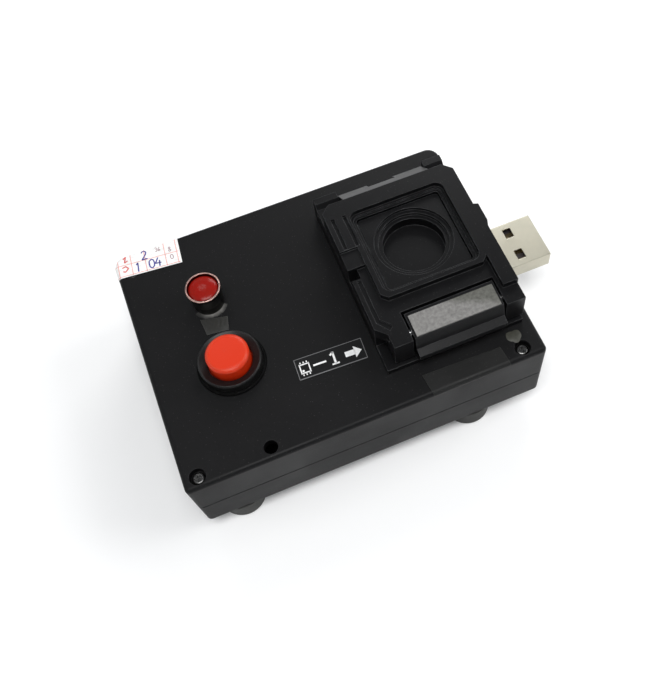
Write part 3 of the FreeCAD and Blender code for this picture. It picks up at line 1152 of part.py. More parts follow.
os.makedirs("parts", exist_ok=True)
for node in nodes:
    node.Shape.exportStep("parts/%s.step" % node.Label)
print("%d pieces written" % len(nodes))
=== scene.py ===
import bpy
import numpy as np
from math import cos, pi, radians, sin
from mathutils import Euler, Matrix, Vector


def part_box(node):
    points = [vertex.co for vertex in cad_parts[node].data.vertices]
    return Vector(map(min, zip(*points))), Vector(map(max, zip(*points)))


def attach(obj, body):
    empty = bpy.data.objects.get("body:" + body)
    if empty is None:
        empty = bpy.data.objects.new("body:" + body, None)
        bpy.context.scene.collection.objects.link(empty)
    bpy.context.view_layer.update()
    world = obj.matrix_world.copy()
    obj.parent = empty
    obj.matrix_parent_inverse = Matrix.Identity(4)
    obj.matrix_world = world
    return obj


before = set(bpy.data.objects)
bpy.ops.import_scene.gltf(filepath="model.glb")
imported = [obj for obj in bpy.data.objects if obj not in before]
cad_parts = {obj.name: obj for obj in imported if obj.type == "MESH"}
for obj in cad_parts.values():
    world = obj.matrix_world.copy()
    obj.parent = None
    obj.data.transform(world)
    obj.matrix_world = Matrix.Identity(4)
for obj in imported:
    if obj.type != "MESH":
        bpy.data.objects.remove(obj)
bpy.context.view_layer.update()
scene = bpy.context.scene


# The room: a pale table that curves up all round, like a photographer's sweep.
# It is painted board, and only carries the fixture and its shadow.
def revolved(profile, count):
    """Points of a profile turned about Z: (r cos t, r sin t, z) for t round the
    circle. The profile lists radius and height."""
    profile = np.array(profile, float)
    t = np.linspace(0, 2 * pi, count, endpoint=False)
    r = profile[:, 0][:, None]
    z = np.repeat(profile[:, 1][:, None], count, axis=1)
    return np.stack([r * np.cos(t), r * np.sin(t), z], axis=2)


def ring_mesh(name, grid):
    """A smooth piece of quads over a grid whose rows each go once round: point
    (i, j) joins (i, j+1), (i+1, j+1) and (i+1, j), and the last point of a row
    joins its first."""
    rows, columns = grid.shape[:2]
    i, j = np.meshgrid(np.arange(rows - 1), np.arange(columns), indexing="ij")
    i, j = i.ravel(), j.ravel()
    after_i, after_j = i + 1, (j + 1) % columns
    quads = np.stack([i * columns + j, i * columns + after_j,
                      after_i * columns + after_j, after_i * columns + j], axis=1)
    mesh = bpy.data.meshes.new(name)
    mesh.from_pydata(grid.reshape(-1, 3).tolist(), [], quads.tolist())
    mesh.polygons.foreach_set("use_smooth", np.full(len(quads), True))
    piece = bpy.data.objects.new(name, mesh)
    scene.collection.objects.link(piece)
    return piece


def new_material(name):
    """A material with its nodes, its link call and its own shader."""
    material = bpy.data.materials.new(name)
    material.use_nodes = True
    tree = material.node_tree
    return material, tree.nodes, tree.links.new, tree.nodes["Principled BSDF"]


flat_reach, bend, wall_top = 0.8, 0.5, 0.9
bend_steps = np.radians(np.arange(10, 91, 10))
sweep_profile = [(0.0, 0.0), (flat_reach / 2, 0.0), (flat_reach, 0.0)]
sweep_profile += [(flat_reach + bend * sin(turn), bend - bend * cos(turn)) for turn in bend_steps]
sweep_profile += [(flat_reach + bend, wall_top)]
sweep = ring_mesh("table_sweep", revolved(sweep_profile, count=96))
pale_board, _, _, shader = new_material("pale board")
shader.inputs["Base Color"].default_value = (0.9, 0.9, 0.9, 1)
shader.inputs["Roughness"].default_value = 0.8
shader.inputs["Specular IOR Level"].default_value = 0.2
sweep.data.materials.append(pale_board)


# The light: five soft boxes over the table, and a dim room behind them. The
# rear one is small, low and near, so it brightens the tops towards the hinge,
# and the narrow one draws a streak on the lamp.
aim = Vector((0, 0, 0.02))


def soft_box(name, place, size, power):
    """A rectangular lamp at a place in metres that faces the fixture."""
    data = bpy.data.lights.new(name, "AREA")
    data.shape = "RECTANGLE"
    data.size, data.size_y = size
    data.energy = power
    lamp = bpy.data.objects.new(name, data)
    lamp.location = place
    lamp.rotation_euler = (aim - Vector(place)).to_track_quat("-Z", "Y").to_euler()
    scene.collection.objects.link(lamp)


soft_box("top_box", (-0.06, -0.20, 0.88), size=(0.5, 0.35), power=5.2)
soft_box("left_box", (-0.70, 0.05, 0.55), size=(0.5, 0.4), power=0.7)
soft_box("right_box", (0.65, -0.10, 0.50), size=(0.5, 0.4), power=2.8)
soft_box("rear_box", (0.13, 0.23, 0.20), size=(0.16, 0.10), power=0.32)
soft_box("streak_box", (-0.07, 0.42, 0.62), size=(0.12, 0.02), power=0.15)
world = bpy.data.worlds.new("room")
world.use_nodes = True
dim_room = world.node_tree.nodes["Background"]
dim_room.inputs["Color"].default_value = (0.9, 0.95, 1.0, 1)
dim_room.inputs["Strength"].default_value = 0.22
scene.world = world
scene.view_settings.view_transform = "Standard"

# The camera: it looks down on the front of the fixture from the left.
mm = 0.001
camera_data = bpy.data.cameras.new("camera")
camera_data.sensor_fit = "HORIZONTAL"
camera_data.sensor_width = 36
camera_data.lens = 45.878
camera_data.shift_x = -0.0988
camera_data.shift_y = 0.0247
camera_data.clip_start = 0.01
camera = bpy.data.objects.new("camera", camera_data)
camera.location = (-21.4425 * mm, -93.8305 * mm, 183.8752 * mm)
camera.rotation_euler = Euler((radians(26.152), radians(2.4729), radians(-22.503)))
scene.collection.objects.link(camera)
scene.camera = camera


# The box: two halves moulded in black ABS with a fine spark-eroded grain, held
# by four screws. Handling has polished its edges, and a few specks of dust lie
# on it.
def new_group(name, inputs, outputs):
    """A shader node group with float inputs and their values, and outputs
    named with their kinds."""
    tree = bpy.data.node_groups.new(name, "ShaderNodeTree")
    for label, value in inputs.items():
        socket = tree.interface.new_socket(name=label, in_out="INPUT", socket_type="NodeSocketFloat")
        socket.default_value = value
    for label, kind in outputs.items():
        tree.interface.new_socket(name=label, in_out="OUTPUT", socket_type="NodeSocket" + kind)
    enter = tree.nodes.new("NodeGroupInput")
    leave = tree.nodes.new("NodeGroupOutput")
    return tree, enter, leave


def place_group(nodes, tree, **values):
    """One use of a group, with its own values on its inputs."""
    node = nodes.new("ShaderNodeGroup")
    node.node_tree = tree
    for label, value in values.items():
        node.inputs[label.replace("_", " ")].default_value = value
    return node


def add_node(nodes, kind, **settings):
    """A shader node with its settings. A numbered name such as in_1 sets that
    socket, a socket's own name sets that one, and any other name sets the node."""
    node = nodes.new("ShaderNode" + kind)
    for label, value in settings.items():
        if label.startswith("in_"):
            node.inputs[int(label[3:])].default_value = value
        elif label in node.inputs:
            node.inputs[label].default_value = value
        else:
            setattr(node, label, value)
    return node


def ramp(nodes, start, end, low=0.0, high=1.0):
    """A Map Range node that goes from low to high while its input goes from
    start to end, and stays level past them."""
    return add_node(nodes, "MapRange", in_1=start, in_2=end, in_3=low, in_4=high)


def build_edge_mask():
    """Mask of edges: the dot product of the surface normal and a normal rounded
    over a radius, widened and broken up by noise. On the plastics it marks worn
    edges; on the metals it marks edges that are partly worn and partly given a
    painted highlight. It also puts out that rounded normal, which gives a sharp
    CAD edge its small radius."""
    tree, enter, leave = new_group("edge wear and sheen", {"Radius": 0.0002, "Patch scale": 400.0},
                                   {"Mask": "Float", "Normal": "Vector"})
    nodes, link = tree.nodes, tree.links.new
    barely_bent, well_bent = 0.985, 0.86
    rounded = add_node(nodes, "Bevel", samples=6)
    flat = add_node(nodes, "NewGeometry")
    dot = add_node(nodes, "VectorMath", operation="DOT_PRODUCT")
    wide = ramp(nodes, barely_bent, well_bent)
    place = add_node(nodes, "TexCoord")
    noise = add_node(nodes, "TexNoise")
    patch = ramp(nodes, 0.35, 0.65, low=0.25)
    mask = add_node(nodes, "Math", operation="MULTIPLY", use_clamp=True)
    link(enter.outputs["Radius"], rounded.inputs["Radius"])
    link(rounded.outputs["Normal"], dot.inputs[0])
    link(flat.outputs["Normal"], dot.inputs[1])
    link(dot.outputs["Value"], wide.inputs[0])
    link(place.outputs["Object"], noise.inputs["Vector"])
    link(enter.outputs["Patch scale"], noise.inputs["Scale"])
    link(noise.outputs["Fac"], patch.inputs[0])
    link(wide.outputs["Result"], mask.inputs[0])
    link(patch.outputs["Result"], mask.inputs[1])
    link(mask.outputs["Value"], leave.inputs["Mask"])
    link(rounded.outputs["Normal"], leave.inputs["Normal"])
    return tree


def build_grain():
    """A moulded skin: fine noise is the grain's height, slow noise the smudges
    that hands leave, and the middles of small cells are specks of dust. Scales
    are per metre."""
    tree, enter, leave = new_group("moulded grain", {"Grain scale": 5000.0, "Smudge scale": 60.0},
                                   {"Height": "Float", "Smudge": "Float", "Speck": "Float"})
    nodes, link = tree.nodes, tree.links.new
    place = add_node(nodes, "TexCoord")
    fine = add_node(nodes, "TexNoise", Detail=3.0)
    slow = add_node(nodes, "TexNoise", Detail=4.0, Distortion=0.6)
    soft = ramp(nodes, 0.35, 0.7)
    cells = add_node(nodes, "TexVoronoi", Scale=1400.0)
    dots = ramp(nodes, 0.10, 0.05)
    for texture in (fine, slow, cells):
        link(place.outputs["Object"], texture.inputs["Vector"])
    link(enter.outputs["Grain scale"], fine.inputs["Scale"])
    link(enter.outputs["Smudge scale"], slow.inputs["Scale"])
    link(slow.outputs["Fac"], soft.inputs[0])
    link(cells.outputs["Distance"], dots.inputs[0])
    link(fine.outputs["Fac"], leave.inputs["Height"])
    link(soft.outputs["Result"], leave.inputs["Smudge"])
    link(dots.outputs["Result"], leave.inputs["Speck"])
    return tree


edge_wear_and_sheen = build_edge_mask()
moulded_grain = build_grain()


def moulded_plastic(name, colour, worn, rough, smudged, edge_radius, grain, depth, glint=0.5):
    """A moulded plastic: its own colour, a worn colour on its edges, rough in
    some patches and smudged in others, smoother where it is worn, with the
    grain's height as bump. The glint is the shader's own specular level."""
    material, nodes, link, shader = new_material(name)
    shader.inputs["Specular IOR Level"].default_value = glint
    dust_colour, dust_share, polish_of_wear = (0.22, 0.21, 0.20, 1), 0.25, -0.14
    edge = place_group(nodes, edge_wear_and_sheen, Radius=edge_radius)
    skin = place_group(nodes, moulded_grain, Grain_scale=grain)
    tint = add_node(nodes, "Mix", data_type="RGBA", A=(*colour, 1), B=(*worn, 1))
    dusty = add_node(nodes, "Mix", data_type="RGBA", B=dust_colour)
    flecks = add_node(nodes, "Math", operation="MULTIPLY", in_1=dust_share)
    gloss = ramp(nodes, 0.0, 1.0, rough, smudged)
    polish = add_node(nodes, "Math", operation="MULTIPLY_ADD", in_1=polish_of_wear)
    bump = add_node(nodes, "Bump", Distance=depth)
    link(edge.outputs["Mask"], tint.inputs["Factor"])
    link(tint.outputs["Result"], dusty.inputs["A"])
    link(skin.outputs["Speck"], flecks.inputs[0])
    link(flecks.outputs["Value"], dusty.inputs["Factor"])
    link(dusty.outputs["Result"], shader.inputs["Base Color"])
    link(skin.outputs["Smudge"], gloss.inputs[0])
    link(edge.outputs["Mask"], polish.inputs[0])
    link(gloss.outputs["Result"], polish.inputs[2])
    link(polish.outputs["Value"], shader.inputs["Roughness"])
    link(skin.outputs["Height"], bump.inputs["Height"])
    link(edge.outputs["Normal"], bump.inputs["Normal"])
    link(bump.outputs["Normal"], shader.inputs["Normal"])
    return material


def finish(material, *names):
    """Gives CAD nodes their finish."""
    for name in names:
        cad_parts[name].material_slots[0].material = material


case_plastic = moulded_plastic(
    "grained black case", colour=(0.0050, 0.0050, 0.0054), worn=(0.024, 0.024, 0.025),
    rough=0.52, smudged=0.42, edge_radius=0.25 * mm, grain=5200.0, depth=0.020 * mm, glint=0.14)
finish(case_plastic, "enclosure_cover", "enclosure_base")

# Rubber feet: soft black stick-on feet, dull and slightly dusty. Their colour is
# set to a dark grey, lighter than the case, partly as a painted highlight.
foot_rubber_with_painted_highlight = moulded_plastic(
    "foot rubber with painted highlight", colour=(0.050, 0.050, 0.048), worn=(0.09, 0.09, 0.087),
    rough=0.75, smudged=0.62, edge_radius=0.3 * mm, grain=2600.0, depth=0.030 * mm, glint=0.2)
finish(foot_rubber_with_painted_highlight, "rubber_feet")

# Test socket: a base, a lid, a pressure block and a latch milled from black
# engineering plastic. The cutter leaves a smoother face and crisper edges than
# the box has.
socket_plastic = moulded_plastic(
    "machined black socket", colour=(0.0045, 0.0045, 0.0050), worn=(0.090, 0.092, 0.095),
    rough=0.42, smudged=0.33, edge_radius=0.18 * mm, grain=3600.0, depth=0.008 * mm, glint=0.14)
finish(socket_plastic, "socket_base", "socket_lid", "pressure_block", "latch")
nest_plastic = moulded_plastic(
    "machined dark nest", colour=(0.014, 0.013, 0.012), worn=(0.06, 0.06, 0.06),
    rough=0.48, smudged=0.38, edge_radius=0.1 * mm, grain=3000.0, depth=0.006 * mm, glint=0.3)
finish(nest_plastic, "nest_frame", "guide_plate", "probe_retainer")


# Metal pieces: drawn, ground, plated or tinned. Fine lines run along the cut,
# and fingers and sliding leave dull patches.
def build_brushing():
    """Height and haze of a brushed metal: noise drawn out 40 times along X for
    the lines, and slow noise for the haze. Scales are per metre."""
    tree, enter, leave = new_group("brushed metal", {"Line scale": 3000.0, "Haze scale": 150.0},
                                   {"Height": "Float", "Haze": "Float"})
    nodes, link = tree.nodes, tree.links.new
    drawn_out = 40
    place = add_node(nodes, "TexCoord")
    stretch = add_node(nodes, "Mapping", Scale=(1 / drawn_out, 1.0, 1.0))
    lines = add_node(nodes, "TexNoise", Detail=2.0)
    haze = add_node(nodes, "TexNoise", Detail=3.0)
    soft = ramp(nodes, 0.35, 0.65)
    link(place.outputs["Object"], stretch.inputs["Vector"])
    link(stretch.outputs["Vector"], lines.inputs["Vector"])
    link(place.outputs["Object"], haze.inputs["Vector"])
    link(enter.outputs["Line scale"], lines.inputs["Scale"])
    link(enter.outputs["Haze scale"], haze.inputs["Scale"])
    link(haze.outputs["Fac"], soft.inputs[0])
    link(lines.outputs["Fac"], leave.inputs["Height"])
    link(soft.outputs["Result"], leave.inputs["Haze"])
    return tree


brushing = build_brushing()


def metal(name, colour, dull, smooth, hazy, edge_radius, depth):
    """A metal: its own colour, dulled in patches and half as bright again on its
    edges, partly worn and partly a painted highlight, with brushed lines as bump."""
    material, nodes, link, shader = new_material(name)
    shader.inputs["Metallic"].default_value = 1.0
    # Edge colour, half as bright again: partly worn metal, partly a painted highlight.
    bright = [min(1.0, 1.5 * part) for part in colour]
    edge = place_group(nodes, edge_wear_and_sheen, Radius=edge_radius)
    lines = place_group(nodes, brushing)
    tint = add_node(nodes, "Mix", data_type="RGBA", A=(*colour, 1), B=(*dull, 1))
    # Mixes in the lighter edge colour: wear and a painted highlight.
    painted_sheen = add_node(nodes, "Mix", data_type="RGBA", B=(*bright, 1))
    gloss = ramp(nodes, 0.0, 1.0, smooth, hazy)
    bump = add_node(nodes, "Bump", Distance=depth)
    link(lines.outputs["Haze"], tint.inputs["Factor"])
    link(tint.outputs["Result"], painted_sheen.inputs["A"])
    link(edge.outputs["Mask"], painted_sheen.inputs["Factor"])
    link(painted_sheen.outputs["Result"], shader.inputs["Base Color"])
    link(lines.outputs["Haze"], gloss.inputs[0])
    link(gloss.outputs["Result"], shader.inputs["Roughness"])
    link(lines.outputs["Height"], bump.inputs["Height"])
    link(edge.outputs["Normal"], bump.inputs["Normal"])
    link(bump.outputs["Normal"], shader.inputs["Normal"])
    return material


plug_steel = metal("tinned plug steel", colour=(0.56, 0.53, 0.43), dull=(0.47, 0.45, 0.37),
                   smooth=0.32, hazy=0.44, edge_radius=0.20 * mm, depth=0.004 * mm)
finish(plug_steel, "usb_plug_shell")
dark_steel = metal("dulled screw steel", colour=(0.15, 0.148, 0.145), dull=(0.07, 0.07, 0.07),
                   smooth=0.20, hazy=0.34, edge_radius=0.08 * mm, depth=0.004 * mm)
finish(dark_steel, "cover_screws", "socket_screws", "guide_screws", "nest_screws")
pin_steel = metal("ground pin steel", colour=(0.65, 0.65, 0.66), dull=(0.50, 0.50, 0.50),
                  smooth=0.22, hazy=0.32, edge_radius=0.05 * mm, depth=0.002 * mm)
finish(pin_steel, "hinge_pin", "latch_pin")
spring_steel = metal("drawn spring steel", colour=(0.55, 0.55, 0.56), dull=(0.40, 0.40, 0.40),
                     smooth=0.28, hazy=0.36, edge_radius=0.03 * mm, depth=0.002 * mm)
finish(spring_steel, "button_spring", "nest_springs", "pressure_springs", "hinge_spring", "latch_spring")
zinc_plate = metal("zinc plate", colour=(0.62, 0.61, 0.56), dull=(0.48, 0.47, 0.44),
                   smooth=0.32, hazy=0.45, edge_radius=0.1 * mm, depth=0.004 * mm)
finish(zinc_plate, "lamp_washer", "lamp_nut")
gold_plate = metal("gold plate", colour=(0.62, 0.50, 0.30), dull=(0.50, 0.40, 0.24),
                   smooth=0.22, hazy=0.34, edge_radius=0.03 * mm, depth=0.002 * mm)
finish(gold_plate, "button_terminals", "usb_contacts", "probe_barrels", "probe_plungers")


# Latch plate: a strip of bare aluminium glued to the latch. Its front is
# coloured lighter than its rear as a painted sheen.
def aluminium_with_painted_sheen():
    """The plate's metal. The way across the top at an angle, bent by slow noise,
    parts the lighter front, a painted sheen, from the darker rear, and fine noise
    flecks both."""
    material, nodes, link, shader = new_material("scuffed aluminium with painted sheen")
    shader.inputs["Metallic"].default_value = 1.0
    shader.inputs["Roughness"].default_value = 0.5
    plate_low, plate_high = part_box("latch_plate")
    sheen_border_angle = radians(25)
    sheen_border_way = (sin(sheen_border_angle), cos(sheen_border_angle), 0.0)
    sheen_border_from = plate_high[0] * sheen_border_way[0] + plate_low[1] * sheen_border_way[1]
    place = add_node(nodes, "TexCoord")
    across = add_node(nodes, "VectorMath", operation="DOT_PRODUCT", in_1=sheen_border_way)
    ripple = add_node(nodes, "TexNoise", Scale=260.0)
    bent = add_node(nodes, "Math", operation="MULTIPLY_ADD", in_1=1.2 * mm)
    band = ramp(nodes, sheen_border_from + 0.1 * mm, sheen_border_from + 1.6 * mm)
    # The front's lighter colour is a painted sheen; the rear's is the darker metal.
    painted_sheen = add_node(nodes, "Mix", data_type="RGBA", A=(0.235, 0.23, 0.222, 1), B=(0.135, 0.135, 0.122, 1))
    scuff = add_node(nodes, "TexNoise", Scale=1500.0, Detail=6.0, Roughness=0.6)
    fleck = ramp(nodes, 0.3, 0.7, 0.72, 1.20)
    flecked = add_node(nodes, "VectorMath", operation="SCALE")
    bump = add_node(nodes, "Bump", Distance=0.008 * mm)
    link(place.outputs["Object"], across.inputs[0])
    link(place.outputs["Object"], ripple.inputs["Vector"])
    link(ripple.outputs["Fac"], bent.inputs[0])
    link(across.outputs["Value"], bent.inputs[2])
    link(bent.outputs["Value"], band.inputs[0])
    link(band.outputs["Result"], painted_sheen.inputs["Factor"])
    link(place.outputs["Object"], scuff.inputs["Vector"])
    link(scuff.outputs["Fac"], fleck.inputs[0])
    link(painted_sheen.outputs["Result"], flecked.inputs[0])
    link(fleck.outputs["Result"], flecked.inputs["Scale"])
    link(flecked.outputs["Vector"], shader.inputs["Base Color"])
    link(scuff.outputs["Fac"], bump.inputs["Height"])
    link(bump.outputs["Normal"], shader.inputs["Normal"])
    return material


finish(aluminium_with_painted_sheen(), "latch_plate")


# Lamp: a chromed brass holder, flared to a thin rim, round a domed red lens of
# clear moulded plastic. The holder's colour carries painted light: a painted
# highlight on the rim, a painted red reflection of the lens in the cup and
# painted shade on the outer wall.
lamp_low, lamp_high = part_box("lamp_bezel")
lamp_x = (lamp_low[0] + lamp_high[0]) / 2
lamp_y = (lamp_low[1] + lamp_high[1]) / 2
lamp_top = lamp_high[2]


def lamp_chrome_with_painted_light():
    """Chrome whose colour is painted light that differs with its place, taken from
    the middle of the rim's top: a painted highlight on the thin rim, a painted red
    reflection of the lens's light in the cup under it, and painted shade on the
    outer wall. Over the radius and the height, two masks part the rim from the
    rest, and two more the cup from the wall."""
    material, nodes, link, shader = new_material("lamp holder chrome with painted light")
    shader.inputs["Metallic"].default_value = 1.0
    shader.inputs["Roughness"].default_value = 0.34
    smooth_turning = place_group(nodes, edge_wear_and_sheen, Radius=0.4 * mm)
    place = add_node(nodes, "TexCoord")
    from_top = add_node(nodes, "VectorMath", operation="SUBTRACT", in_1=(lamp_x, lamp_y, lamp_top))
    split = add_node(nodes, "SeparateXYZ")
    level = add_node(nodes, "CombineXYZ")
    radius = add_node(nodes, "VectorMath", operation="LENGTH")
    at_the_top = ramp(nodes, -0.30 * mm, -0.10 * mm)
    past_the_lens = ramp(nodes, 3.45 * mm, 3.50 * mm)
    rim = add_node(nodes, "Math", operation="MULTIPLY")
    past_the_cup = ramp(nodes, 3.50 * mm, 3.58 * mm)
    under_the_cup = ramp(nodes, -1.90 * mm, -1.95 * mm)
    outer_wall = add_node(nodes, "Math", operation="MAXIMUM")
    # Painted red reflection of the lens in the cup, and painted shade on the outer wall.
    wall = add_node(nodes, "Mix", data_type="RGBA", A=(0.10, 0.012, 0.010, 1), B=(0.035, 0.034, 0.032, 1))
    # Painted highlight on the thin rim.
    bright = add_node(nodes, "Mix", data_type="RGBA", B=(0.52, 0.34, 0.30, 1))
    link(place.outputs["Object"], from_top.inputs[0])
    link(from_top.outputs["Vector"], split.inputs["Vector"])
    link(split.outputs["X"], level.inputs["X"])
    link(split.outputs["Y"], level.inputs["Y"])
    link(level.outputs["Vector"], radius.inputs[0])
    link(split.outputs["Z"], at_the_top.inputs[0])
    link(radius.outputs["Value"], past_the_lens.inputs[0])
    link(at_the_top.outputs["Result"], rim.inputs[0])
    link(past_the_lens.outputs["Result"], rim.inputs[1])
    link(radius.outputs["Value"], past_the_cup.inputs[0])
    link(split.outputs["Z"], under_the_cup.inputs[0])
    link(past_the_cup.outputs["Result"], outer_wall.inputs[0])
    link(under_the_cup.outputs["Result"], outer_wall.inputs[1])
    link(outer_wall.outputs["Value"], wall.inputs["Factor"])
    link(wall.outputs["Result"], bright.inputs["A"])
    link(rim.outputs["Value"], bright.inputs["Factor"])
    link(bright.outputs["Result"], shader.inputs["Base Color"])
    link(smooth_turning.outputs["Normal"], shader.inputs["Normal"])
    return material


def red_lens():
    """Clear red plastic, deeper and paler in patches, with its facets smoothed."""
    material, nodes, link, shader = new_material("red lens")
    shader.inputs["Roughness"].default_value = 0.2
    shader.inputs["Specular IOR Level"].default_value = 0.18
    place = add_node(nodes, "TexCoord")
    patches = add_node(nodes, "TexNoise", Scale=320.0)
    tint = add_node(nodes, "Mix", data_type="RGBA", A=(0.27, 0.003, 0.003, 1), B=(0.20, 0.012, 0.006, 1))
    smooth_dome = place_group(nodes, edge_wear_and_sheen, Radius=0.6 * mm)
    link(place.outputs["Object"], patches.inputs["Vector"])
    link(patches.outputs["Fac"], tint.inputs["Factor"])
    link(tint.outputs["Result"], shader.inputs["Base Color"])
    link(smooth_dome.outputs["Normal"], shader.inputs["Normal"])
    return material


finish(lamp_chrome_with_painted_light(), "lamp_bezel")
finish(red_lens(), "lamp_lens")

# Button: a satin red cap in a black bezel, with a flat rubber skirt under it.
cap_red = moulded_plastic(
    "button red", colour=(0.58, 0.026, 0.003), worn=(0.66, 0.10, 0.05),
    rough=0.34, smudged=0.26, edge_radius=1.0 * mm, grain=3000.0, depth=0.004 * mm, glint=0.3)
finish(cap_red, "button_cap")
bezel_black = moulded_plastic(
    "bezel black", colour=(0.007, 0.007, 0.007), worn=(0.035, 0.036, 0.037),
    rough=0.40, smudged=0.30, edge_radius=0.2 * mm, grain=3000.0, depth=0.006 * mm, glint=0.3)
finish(bezel_black, "button_bezel", "button_nut", "button_switch_base", "controller_chip")
# The skirt's near-black colour, darker than the bezel and the case, is painted shade under the bezel.
skirt_with_painted_shade = moulded_plastic(
    "button skirt with painted shade", colour=(0.0015, 0.0015, 0.0016), worn=(0.008, 0.008, 0.008),
    rough=0.55, smudged=0.45, edge_radius=0.2 * mm, grain=2600.0, depth=0.010 * mm, glint=0.05)
finish(skirt_with_painted_shade, "button_skirt")

# Plug tongue: a moulded block inside the shell, seen through its windows.
tongue_grey = moulded_plastic(
    "plug tongue", colour=(0.06, 0.05, 0.052), worn=(0.10, 0.09, 0.09),
    rough=0.45, smudged=0.35, edge_radius=0.2 * mm, grain=3000.0, depth=0.006 * mm)
finish(tongue_grey, "usb_plug_tongue")

# Circuit board: green glass cloth with its controller and a few ceramic parts.
board_green = moulded_plastic(
    "solder mask", colour=(0.012, 0.10, 0.04), worn=(0.25, 0.28, 0.18),
    rough=0.32, smudged=0.26, edge_radius=0.1 * mm, grain=1500.0, depth=0.006 * mm)
finish(board_green, "main_board")
ceramic = moulded_plastic(
    "fired ceramic", colour=(0.42, 0.32, 0.22), worn=(0.6, 0.6, 0.58),
    rough=0.4, smudged=0.3, edge_radius=0.08 * mm, grain=2500.0, depth=0.002 * mm)
finish(ceramic, "board_passives")


# Record sticker: white paper stuck on the rear left corner and folded over its
# two edges. It has red ruled columns, a stamp mark and numbers in blue pen.
cover_low, cover_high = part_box("enclosure_cover")
box_left, box_front, _ = (part / mm for part in cover_low)
box_right, box_rear, box_top = (part / mm for part in cover_high)
edge_round, front_corner, rear_corner = 1.0, 1.1, 2.8


def on_cover(x, y, lift):
    """Places points (x, y) of a flat sheet on the cover at a lift over it, all
    in mm. The sheet is flat up to the edge's round of radius r. At a distance s
    past that line, with n the way outwards and a = s / r up to a right angle,
    a point is the line + n (r + lift) sin a at height top - r + (r + lift) cos a,
    and what is left of s hangs straight down."""
    x, y = np.broadcast_arrays(np.asarray(x, float), np.asarray(y, float))
    corner = np.where(y > 0, rear_corner, front_corner)
    inner_x = np.clip(x, box_left + corner, box_right - corner)
    inner_y = np.clip(y, box_front + corner, box_rear - corner)
    reach = np.hypot(x - inner_x, y - inner_y)
    flat = corner - edge_round
    past = np.maximum(reach - flat, 0)
    safe = np.maximum(reach, 1e-9)
    out_x, out_y = (x - inner_x) / safe, (y - inner_y) / safe
    turn = np.minimum(past / edge_round, pi / 2)
    hang = np.maximum(past - edge_round * pi / 2, 0)
    carried = np.minimum(reach, flat) + (edge_round + lift) * np.sin(turn)
    height = box_top - edge_round + (edge_round + lift) * np.cos(turn) - hang
    return np.stack([inner_x + out_x * carried, inner_y + out_y * carried, height], axis=-1) * mm


def sheet_piece(name, parts, thick):
    """One thin piece from several parts: a grid of points becomes quads, and a
    flat ring of points becomes one face. Its thickness is added upwards."""
    points, faces = [], []
    for part in parts:
        start = len(points)
        points += part.reshape(-1, 3).tolist()
        if part.ndim == 2:
            faces.append(list(range(start, start + len(part))))
            continue
        rows, columns = part.shape[:2]
        i, j = np.meshgrid(np.arange(rows - 1), np.arange(columns - 1), indexing="ij")
        first = start + (i * columns + j).ravel()
        faces += np.stack([first, first + columns, first + columns + 1, first + 1], axis=1).tolist()
    mesh = bpy.data.meshes.new(name)
    mesh.from_pydata(points, [], faces)
    piece = bpy.data.objects.new(name, mesh)
    scene.collection.objects.link(piece)
    wall = piece.modifiers.new("wall", "SOLIDIFY")
    wall.thickness = thick * mm
    wall.offset = 1
    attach(piece, "box")
    return piece


def pen_line(corners, width, count):
    """A pen line in a sheet's plane: points spread evenly along a polyline by
    its running length, each moved half the width to either side, across the
    line's own direction (dx, dy), by (dy, -dx) and (-dy, dx)."""
    corners = np.array(corners, float)
    run = np.concatenate([[0], np.cumsum(np.hypot(*np.diff(corners, axis=0).T))])
    at = np.linspace(0, run[-1], count)
    path = np.stack([np.interp(at, run, corners[:, 0]), np.interp(at, run, corners[:, 1])], axis=1)
    along = np.gradient(path, axis=0)
    along /= np.linalg.norm(along, axis=1)[:, None]
    across = np.stack([along[:, 1], -along[:, 0]], axis=1) * width / 2
    return np.stack([path + across, path - across], axis=1)


def straight(start, end, width, count=2):
    """A straight ruled line with square ends."""
    return pen_line([start, end], width, count)


def place_plane(origin, angle, lift):
    """A function that turns a sheet's own points (u, v) in mm into the scene:
    turned by an angle about its origin, then laid on the cover."""
    c, s = cos(radians(angle)), sin(radians(angle))

    def laid(points):
        u, v = points[..., 0], points[..., 1]
        return on_cover(origin[0] + c * u - s * v, origin[1] + s * u + c * v, lift)
    return laid


def paint_like(name, colour, rough, glint=0.3, depth=0.010 * mm):
    """A thin printed or inked layer: its own colour, a little uneven."""
    material, nodes, link, shader = new_material(name)
    shader.inputs["Roughness"].default_value = rough
    shader.inputs["Specular IOR Level"].default_value = glint
    place = add_node(nodes, "TexCoord")
    fibre = add_node(nodes, "TexNoise", Scale=1800.0, Detail=4.0)
    shade = ramp(nodes, 0.3, 0.7, 0.88, 1.08)
    toned = add_node(nodes, "VectorMath", operation="SCALE", in_0=colour)
    bump = add_node(nodes, "Bump", Distance=depth)
    link(place.outputs["Object"], fibre.inputs["Vector"])
    link(fibre.outputs["Fac"], shade.inputs[0])
    link(shade.outputs["Result"], toned.inputs["Scale"])
    link(toned.outputs["Vector"], shader.inputs["Base Color"])
    link(fibre.outputs["Fac"], bump.inputs["Height"])
    link(bump.outputs["Normal"], shader.inputs["Normal"])
    return material


